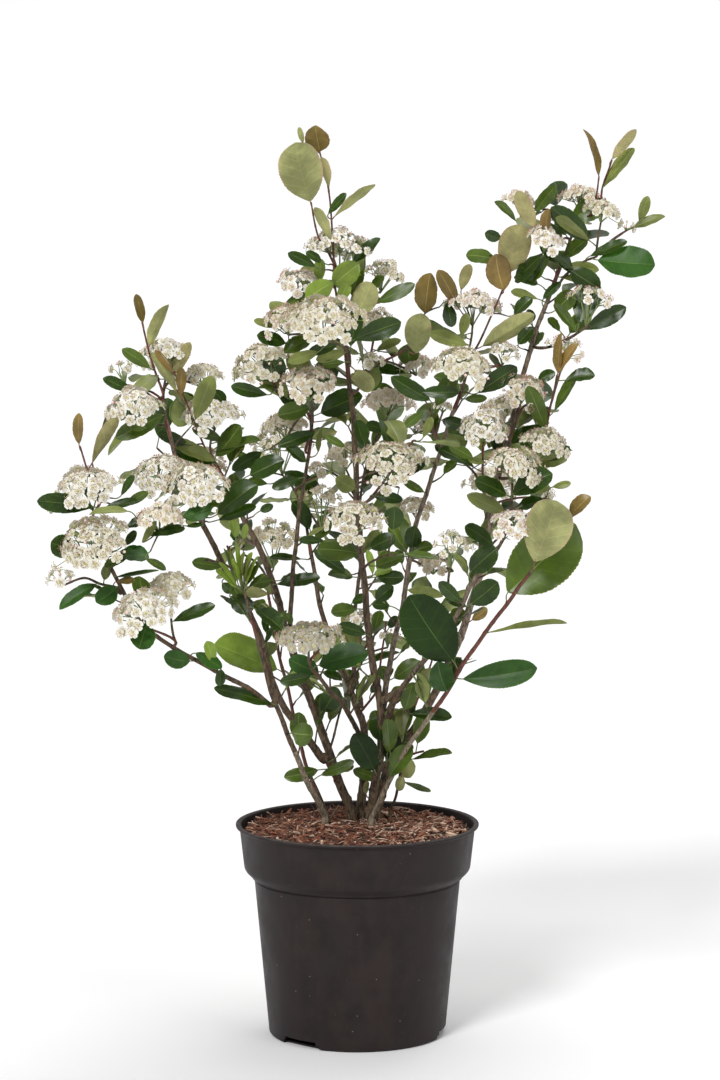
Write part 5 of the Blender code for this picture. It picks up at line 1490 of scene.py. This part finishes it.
def makeFlowerMaterials():
    colours = {
        # The tan and the grey petals are darker copies of the white: painted shade.
        "petalWhite": (0.84, 0.82, 0.73), "petalCream": (0.74, 0.71, 0.58), "petalShadeTan": (0.75, 0.69, 0.56),
        "petalShadeGrey": (0.44, 0.42, 0.33), "heartGreen": (0.56, 0.54, 0.16), "filament": (0.82, 0.8, 0.68),
        "antherPink": (0.72, 0.36, 0.3), "antherTan": (0.6, 0.42, 0.26), "antherBrown": (0.42, 0.24, 0.15),
        "budPink": (0.82, 0.6, 0.54), "stalkGreen": (0.2, 0.26, 0.09)}
    rough = {"filament": 0.5, "budPink": 0.5, "stalkGreen": 0.5, "petalShadeTan": 0.6, "petalShadeGrey": 0.6,
             "antherPink": 0.6, "antherTan": 0.6, "antherBrown": 0.6}
    tone = {"Scale": 500.0, "Darker": 0.9, "Lighter": 1.06}
    relief = {"Scale": 1500.0, "Strength": 0.15, "Depth": 0.0001}
    return {name: toned(name, colour, rough.get(name, 0.55), tone, relief)
            for name, colour in colours.items()}


flowerLooks = makeFlowerMaterials()


def makeBlossom(name, parts, *looks, slotName="blossom"):
    makePiece(name, parts, [flowerLooks[look] for look in looks], slotName, foliageNodes)


def flowerAxes(head, chosen):
    facing = head["facing"][chosen]
    side = unit(np.cross(facing, [0.1, 0.2, 1.0]))
    other = np.cross(facing, side)
    spin = head["spin"][chosen][:, None]
    return np.cos(spin) * side + np.sin(spin) * other, np.cos(spin) * other - np.sin(spin) * side, facing


def headCopies(head, chosen, template, groups, size):
    # Copies on the chosen flowers of a head, all of one size or each of its own.
    chosen = np.nonzero(chosen)[0]
    sizes = np.ones((len(chosen), 3)) * (size[chosen][:, None] if np.ndim(size) else size)
    return copies(template, groups, head["places"][chosen], flowerAxes(head, chosen), sizes)


def makePetals():
    # The heads are shared out over pieces that stay small enough.
    shapes = [petalShape(variant) for variant in range(flowerValues["petalKinds"])]
    parts, triangles, piece = [], 0, 1
    for number, head in enumerate(heads):
        for variant, (template, quads) in enumerate(shapes):
            chosen = ~head["isBud"] & (head["petal"] == variant)
            parts.append(headCopies(head, chosen, template, [(quads, head["tone"])],
                                    head["size"] * flowerValues["radius"]))
            triangles += 2 * len(quads) * int(chosen.sum())
        if triangles > flowerValues["mostTriangles"] or number == len(heads) - 1:
            makeBlossom(f"petals{piece}", parts, *flowerValues["petalTones"])
            parts, triangles, piece = [], 0, piece + 1


def makeStamens():
    # Thin filaments that spread over the petals, each with an anther.
    bead, beadFaces = beadShape()
    threads, anthers = [], []
    count = flowerValues["stamens"]
    for number, head in enumerate(heads):
        seeded = np.random.default_rng(5000 + number)
        chosen = np.nonzero(~head["isBud"])[0]
        many = len(chosen) * count
        turn = np.tile(turnsOf(count), len(chosen)) + seeded.normal(0, 0.2, many)
        length = seeded.uniform(*flowerValues["filament"], many)[:, None]
        lean = seeded.uniform(0.35, 1.05, many)[:, None]
        each = np.repeat(np.arange(len(chosen)), count)
        side, forward, top = (axis[each] for axis in flowerAxes(head, chosen))
        outward = np.cos(turn)[:, None] * side + np.sin(turn)[:, None] * forward
        base = head["places"][chosen][each] + outward * 0.0009 + top * 0.0003
        heading = unit(outward * np.sin(lean) + top * np.cos(lean))
        end = base + heading * length
        across = unit(np.cross(heading, top)) * flowerValues["filamentHalf"]
        strip = np.stack([base - across, base + across, end + across * 0.7, end - across * 0.7], axis=1)
        threads.append((strip, [(np.arange(many * 4).reshape(-1, 4), 0)]))
        # The head with the painted-shade grey petals takes the tan anthers.
        slot = 1 if head["tone"] == shadeGreyTone else head["kind"]
        anthers.append(copies(bead, [(beadFaces, slot)], end, (side, forward, top),
                              np.tile(flowerValues["anther"], (many, 1))))
    makeBlossom("filaments", threads, "filament")
    makeBlossom("anthers", anthers, *flowerValues["antherTones"])


def makeStalks():
    parts = []
    for head in heads:
        rays, axis, facing = head["rays"], head["axis"], head["facing"]
        feet = np.repeat(head["foot"][None], len(rays), axis=0)
        parts.append(stalks(feet, feet * 0.5 + rays * 0.5 + axis * 0.001, rays,
                            *flowerValues["rayRadii"], 5, 4))
        starts, ends = rays[head["lobe"]] - axis * 0.0005, head["places"] - facing * 0.002
        parts.append(stalks(starts, starts * 0.4 + ends * 0.6 - facing * 0.0025, ends,
                            *flowerValues["stalkRadii"], 3, 4))
    makeBlossom("flowerStalks", parts, "stalkGreen", slotName="foliage")


makePetals()
disc, discRing, discEnds = discShape()
makeBlossom("flowerHearts", [headCopies(head, ~head["isBud"], disc, [(discRing, 0), (discEnds, 0)],
                                        flowerValues["radius"]) for head in heads], "heartGreen")
makeStamens()
bud, budFaces = ballShape(1.0)
makeBlossom("flowerBuds", [headCopies(
    head, head["isBud"], bud * [1.0, 1.0, 1.15], [(budFaces, 0)], head["size"] * flowerValues["budRadius"])
    for head in heads], "budPink")
makeStalks()
print("blossom made")


# Pot: thin black plastic with a wide collar and a rolled lip

potValues = {
    "height": 0.2175,
    "lipRadius": 0.124,
    "lipDepth": 0.0034,
    "collarTop": 0.12,
    "collarFoot": 0.1152,
    "collarFootZ": 0.1702,
    "wallTop": 0.105,
    "wallTopZ": 0.1628,
    "groove": 0.0008,  # how deep the wall is drawn in under the collar
    "overhang": 0.0027,  # of the collar over the wall
    "base": 0.0902,
    "wall": 0.0015,
    "floor": 0.002,
    "steps": 160,
    "round": 0.0036,
    "uneven": ((0.0022, 2, 0.7), (0.0012, 5, 0.0), (0.0006, 11, 2.0)),  # share, waves and phase at the lip
    "colour": (0.0175, 0.0134, 0.0132),
    "slots": 3,
    "firstSlot": math.radians(-130.5),
    "slotWidth": 0.048,
    "slotHeight": 0.008,
    "slotDepth": 0.018,
    "slotRound": 0.0035,
}


def rounded(corners, radius, steps=4):
    # An outline whose inner corners are turned into short arcs.
    corners = np.array(corners)
    outline = []
    for before, corner, after in zip(corners, corners[1:], corners[2:]):
        cut = min(radius, 0.45 * np.linalg.norm(corner - before), 0.45 * np.linalg.norm(after - corner))
        start, end = corner + unit(before - corner) * cut, corner + unit(after - corner) * cut
        outline += [bend(start, corner, end, step / steps) for step in range(steps + 1)]
    return np.array(outline)


def makePotMaterials():
    colour = potValues["colour"]
    material, tree, shader = newMaterial("potPlastic", colour, 0.42, Specular_IOR_Level=0.17)
    patches = placeGroup(tree, noiseTone, Colour=(*colour, 1.0), Scale=34.0, Darker=0.78, Lighter=1.28,
                         Detail=6.0)
    warm = placeGroup(tree, noiseTone, Colour=(0.034, 0.02, 0.016, 1.0), Scale=60.0, Darker=0.9,
                      Lighter=1.1, Detail=8.0, Stretch=(1.0, 1.0, 0.35))
    dusty = addNode(tree, "ShaderNodeMath", {0: warm.outputs["Mask"], 1: 0.26}, operation="MULTIPLY")
    base = mixColours(tree, dusty.outputs[0], patches.outputs["Colour"], warm.outputs["Colour"])
    flecks = placeGroup(tree, specks, Scale=210.0, Size=0.13, Share=0.05)
    base = mixColours(tree, flecks.outputs["Mask"], base, (0.13, 0.11, 0.1))
    scratches = placeGroup(tree, specks, Scale=60.0, Size=0.045, Share=0.3, Stretch=(6.0, 6.0, 0.5))
    base = mixColours(tree, scratches.outputs["Mask"], base, (0.085, 0.075, 0.072))
    tree.links.new(base, shader.inputs["Base Color"])
    rough = addNode(tree, "ShaderNodeMapRange", {
        "Value": patches.outputs["Mask"], "To Min": 0.44, "To Max": 0.6})
    tree.links.new(rough.outputs["Result"], shader.inputs["Roughness"])
    addRelief(tree, shader, Scale=420.0, Strength=0.14, Depth=0.0003)
    lip = toned("potLip", (0.052, 0.042, 0.04), 0.5, {"Scale": 160.0, "Darker": 0.75, "Lighter": 1.45},
                {"Scale": 900.0, "Strength": 0.12, "Depth": 0.0002}, Specular_IOR_Level=0.2)
    return [material, lip]


def makePot():
    top, lip, collar, foot, footZ, wallTop, wallTopZ, wall = (potValues[name] for name in (
        "height", "lipRadius", "collarTop", "collarFoot", "collarFootZ", "wallTop", "wallTopZ", "wall"))
    groove, rim = wallTop - potValues["groove"], wallTop + potValues["overhang"]
    lipFoot, base, floor = top - potValues["lipDepth"], potValues["base"], potValues["floor"]
    outline = rounded([
        (0.0, 0.0), (base, 0.0), (wallTop, wallTopZ - 0.0036), (groove, wallTopZ - 0.0024),
        (groove, wallTopZ - 0.0004), (rim, wallTopZ - 0.0008), (rim, wallTopZ + 0.0004), (foot, footZ),
        (collar, lipFoot - 0.0012), (lip - 0.0002, lipFoot), (lip, top - 0.0006), (collar + 0.0008, top),
        (collar - wall, top - 0.0012), (foot - wall, footZ + 0.0018),
        (wallTop - wall - 0.0009, wallTopZ + 0.0018), (base - wall, floor), (0.0, floor)],
        potValues["round"])
    steps, count = potValues["steps"], len(outline)
    turn = turnsOf(steps)
    uneven = sum(share * np.sin(waves * turn + phase) for share, waves, phase in potValues["uneven"])
    lift = np.clip(outline[:, 1:] / top, 0, 1) ** 3
    radius = outline[:, :1] * (1 + uneven[None] * lift)
    points = np.stack([radius * np.cos(turn), radius * np.sin(turn),
                       np.repeat(outline[:, 1:], steps, axis=1)], axis=-1).reshape(-1, 3)
    points = np.concatenate([points, [[0, 0, 0], [0, 0, floor]]])
    isLip = (outline[:-1, 1] > top - 0.0016) & (outline[1:, 1] > top - 0.0016)
    pot = makePiece("nurseryPot", [(points, [
        (gridFaces(count, steps, closed=True), np.repeat(isLip.astype(int), steps)),
        (capFaces(count, steps), 0)])], makePotMaterials(), "pot", ["pot"])
    cutSlots(pot)
    pot.data.set_sharp_from_angle(angle=math.radians(45))


def cutSlots(pot):
    # The drain slots run through the wall where it meets the floor.
    cutters = []
    for turn in potValues["firstSlot"] + turnsOf(potValues["slots"]):
        shape = bmesh.new()
        bmesh.ops.create_cube(shape, size=1.0)
        for vert in shape.verts:
            vert.co = (vert.co.x * potValues["slotDepth"], vert.co.y * potValues["slotWidth"],
                       vert.co.z * 2 * potValues["slotHeight"])
        edges = [edge for edge in shape.edges if abs(edge.verts[0].co.x - edge.verts[1].co.x) > 0.001]
        bmesh.ops.bevel(shape, geom=edges, offset=potValues["slotRound"], segments=4, affect="EDGES")
        mesh = bpy.data.meshes.new("slotCutter")
        shape.to_mesh(mesh)
        shape.free()
        cutter = bpy.data.objects.new("slotCutter", mesh)
        cutter.location = (potValues["base"] * math.cos(turn), potValues["base"] * math.sin(turn), 0.0)
        cutter.rotation_euler = (0.0, 0.0, turn)
        bpy.context.scene.collection.objects.link(cutter)
        cut = pot.modifiers.new("slot", "BOOLEAN")
        cut.object = cutter
        cut.operation = "DIFFERENCE"
        cut.solver = "EXACT"
        cutters.append(cutter)
    graph = bpy.context.evaluated_depsgraph_get()
    mesh = bpy.data.meshes.new_from_object(pot.evaluated_get(graph))
    pot.modifiers.clear()
    pot.data = mesh
    for cutter in cutters:
        bpy.data.objects.remove(cutter)


makePot()
print("pot made")


# Mulch: a bed of bark fibres and chips round the stems

mulchValues = {
    "edgeZ": 0.2098,
    "topZ": 0.2128,
    "levelRadius": 0.058,
    "edgeRadius": 0.1166,
    "bedDrop": 0.0022,
    "bedFoot": 0.185,
    "relief": 0.0016,
    "chips": 900,
    "chipLength": (0.006, 0.02),
    "chipWidth": (0.0012, 0.0048),
    "chipThickness": (0.0006, 0.0019),
    "fibres": 2100,
    "fibreLength": (0.006, 0.019),
    "fibreRadius": (0.0003, 0.0008),
    "perlite": 60,
    "perliteSize": (0.0012, 0.004),
    "paleSide": 0.02,  # right of this the mulch is drier and paler
    "colours": {  # the loose pieces take the first five in shares that differ from side to side
        "mulchRed": (0.23, 0.082, 0.046), "mulchBrown": (0.125, 0.054, 0.034),
        "mulchOrange": (0.33, 0.165, 0.1), "mulchPale": (0.6, 0.42, 0.31),
        "mulchDark": (0.034, 0.019, 0.014), "perliteWhite": (0.74, 0.72, 0.68)},
}
mulchLooks = [toned(name, colour, 0.88, {"Scale": 260.0, "Darker": 0.55, "Lighter": 1.55, "Detail": 6.0},
                    {"Scale": 520.0, "Strength": 0.7, "Depth": 0.0006})
              for name, colour in mulchValues["colours"].items()]


def bedHeight(radius, x, y):
    values = mulchValues
    slope = (values["edgeZ"] - values["topZ"]) / (values["edgeRadius"] - values["levelRadius"])
    level = values["topZ"] + slope * np.clip(radius - values["levelRadius"], 0, None) - values["bedDrop"]
    return level + values["relief"] * (np.sin(x * 310 + 1.3) * np.sin(y * 270 + 0.4)
                                       + 0.6 * np.sin(x * 690 + y * 410) + 0.4 * np.sin(y * 930 - x * 520))


def makeMulch(name, parts, looks, sharpAngle=None):
    makePiece(name, parts, looks, "mulch", ["potting_mix"], sharpAngle)


def makeMulchBed():
    rings, steps = 46, 128
    radius = np.linspace(0.001, mulchValues["edgeRadius"], rings)[:, None]
    x, y = radius * np.cos(turnsOf(steps)), radius * np.sin(turnsOf(steps))
    z = bedHeight(radius, x, y)
    top = np.stack([x, y, z], axis=-1).reshape(-1, 3)
    drop = top[-steps:] * [1, 1, 0] + [0, 0, mulchValues["bedFoot"]]
    points = np.concatenate([top, drop, [[0, 0, float(z[0, 0])], [0, 0, mulchValues["bedFoot"]]]])
    makeMulch("mulchBed", [(points, [(gridFaces(rings + 1, steps, closed=True)[:, ::-1], 0),
                                     (capFaces(rings + 1, steps)[:, ::-1], 0)])], [mulchLooks[4]])


def chipShape():
    # A splinter: a thin slab with chamfered ends, in units of its own size.
    made = bmesh.new()
    bmesh.ops.create_cube(made, size=1.0)
    bmesh.ops.subdivide_edges(made, edges=[edge for edge in made.edges if abs(
        edge.verts[0].co.y - edge.verts[1].co.y) > 0.5], cuts=1)
    points, faces = unpacked(made)
    ends = np.abs(points[:, 1]) > 0.4
    points[:, 0] *= np.where(ends, 0.55, 1.0)
    points[:, 2] += np.where(ends, -0.25, 0.0)
    return points, faces


def strewn(many, seeded, sink, lift):
    # Places over the mulch and random axes that lie nearly flat.
    radius = np.sqrt(seeded.random(many)) * (mulchValues["edgeRadius"] - 0.004)
    turn = seeded.uniform(0, math.tau, many)
    x, y = radius * np.cos(turn), radius * np.sin(turn)
    z = bedHeight(radius, x, y) + seeded.uniform(sink, lift, many)
    heading = seeded.uniform(0, math.tau, many)
    forward = unit(np.stack([np.cos(heading), np.sin(heading), seeded.normal(0, 0.3, many)], axis=1))
    top = unit(np.stack([seeded.normal(0, 0.35, many), seeded.normal(0, 0.35, many), np.ones(many)], axis=1))
    side = unit(np.cross(forward, top))
    return np.stack([x, y, z], axis=1), (side, forward, np.cross(side, forward))


def keptInside(places, lengths):
    # Shortens what would pass through the pot's wall.
    room = mulchValues["edgeRadius"] - np.linalg.norm(places[:, :2], axis=1)
    return np.minimum(lengths, np.maximum(room * 1.7, 0.003))


def sideKinds(places, seeded, paleShares, darkShares):
    # The kind of each piece, dealt out in other shares on the paler side.
    isPale = places[:, 0] > mulchValues["paleSide"] + seeded.normal(0, 0.02, len(places))
    return np.where(isPale, *(seeded.choice(len(shares), len(places), p=shares)
                              for shares in (paleShares, darkShares)))


def makeChips():
    seeded = np.random.default_rng(77)
    template, quads = chipShape()
    many = mulchValues["chips"]
    places, axes = strewn(many, seeded, 0.0, 0.0036)
    lengths = keptInside(places, seeded.uniform(*mulchValues["chipLength"], many))
    sizes = np.stack([seeded.uniform(*mulchValues["chipWidth"], many), lengths,
                      seeded.uniform(*mulchValues["chipThickness"], many)], axis=1)
    points, groups = copies(template, [(quads, 0)], places, axes, sizes)
    points += seeded.normal(0, 0.00022, points.shape)
    kinds = sideKinds(places, seeded, (0.26, 0.28, 0.16, 0.2, 0.1), (0.36, 0.3, 0.12, 0.06, 0.16))
    makeMulch("barkChips", [(points, [(groups[0][0], np.repeat(kinds, len(quads)))])], mulchLooks[:5], 35)


def makeFibres():
    seeded = np.random.default_rng(78)
    many = mulchValues["fibres"]
    places, (sides, forwards, ups) = strewn(many, seeded, 0.0008, 0.0042)
    lengths = keptInside(places, seeded.uniform(*mulchValues["fibreLength"], many))[:, None]
    starts, ends = places - forwards * lengths / 2, places + forwards * lengths / 2
    knees = places + sides * lengths * seeded.normal(0, 0.22, (many, 1)) + ups * lengths * 0.08
    radii = seeded.uniform(*mulchValues["fibreRadius"], many)
    kinds = sideKinds(places, seeded, (0.24, 0.28, 0.18, 0.3), (0.38, 0.34, 0.13, 0.15))
    parts = []
    for kind in range(4):
        chosen = kinds == kind
        parts.append(stalks(starts[chosen], knees[chosen], ends[chosen], radii[chosen],
                            radii[chosen] * 0.5, 4, 4, kind))
    makeMulch("barkFibres", parts, mulchLooks[:4])


def makePerlite():
    seeded = np.random.default_rng(79)
    template, faces = ballShape(0.5)
    many = mulchValues["perlite"]
    places, axes = strewn(many, seeded, 0.0008, 0.0028)
    points, groups = copies(template, [(faces, 0)], places, axes,
                            seeded.uniform(*mulchValues["perliteSize"], (many, 3)))
    points += seeded.normal(0, 0.00015, points.shape)
    makeMulch("perlite", [(points, groups)], mulchLooks[5:], 30)


makeMulchBed()
makeChips()
makeFibres()
makePerlite()
print("mulch made")


# Studio: a pale floor, a white room and soft lights

studioValues = {
    "floorColour": (0.94, 0.94, 0.94),
    "room": 0.46,  # how strongly the white room lights the plant
    "lights": {  # turn round from the front, height, width, all in degrees, and strength
        "keyLight": {"turn": -25, "height": 38, "spread": 16, "strength": 1.75},
        "fillLight": {"turn": 50, "height": 25, "spread": 36, "strength": 0.55},
        "topLight": {"turn": 160, "height": 68, "spread": 30, "strength": 1.0},
    },
}


def makeStudio():
    material, tree, shader = newMaterial("studioFloor", studioValues["floorColour"], 0.9)
    addRelief(tree, shader, Scale=40.0, Strength=0.03, Depth=0.0005)
    bpy.ops.mesh.primitive_plane_add(size=900.0)
    floor = bpy.context.object
    floor.name = "studioFloor"
    floor.data.materials.append(material)
    world = bpy.data.worlds.new("studioRoom")
    world.use_nodes = True
    room = world.node_tree
    path = room.nodes.new("ShaderNodeLightPath")
    strength = addNode(room, "ShaderNodeMapRange", {
        "Value": path.outputs["Is Camera Ray"], "To Min": studioValues["room"], "To Max": 1.0})
    backdrop = room.nodes["Background"]
    backdrop.inputs["Color"].default_value = (1.0, 1.0, 1.0, 1.0)
    room.links.new(strength.outputs["Result"], backdrop.inputs["Strength"])
    bpy.context.scene.world = world
    for name, light in studioValues["lights"].items():
        data = bpy.data.lights.new(name, "SUN")
        data.angle = math.radians(light["spread"])
        data.energy = light["strength"]
        lamp = bpy.data.objects.new(name, data)
        lamp.rotation_euler = (math.radians(90 - light["height"]), 0.0, math.radians(light["turn"]))
        bpy.context.scene.collection.objects.link(lamp)
    bpy.context.scene.view_settings.view_transform = "Standard"


makeStudio()
print("studio lit")
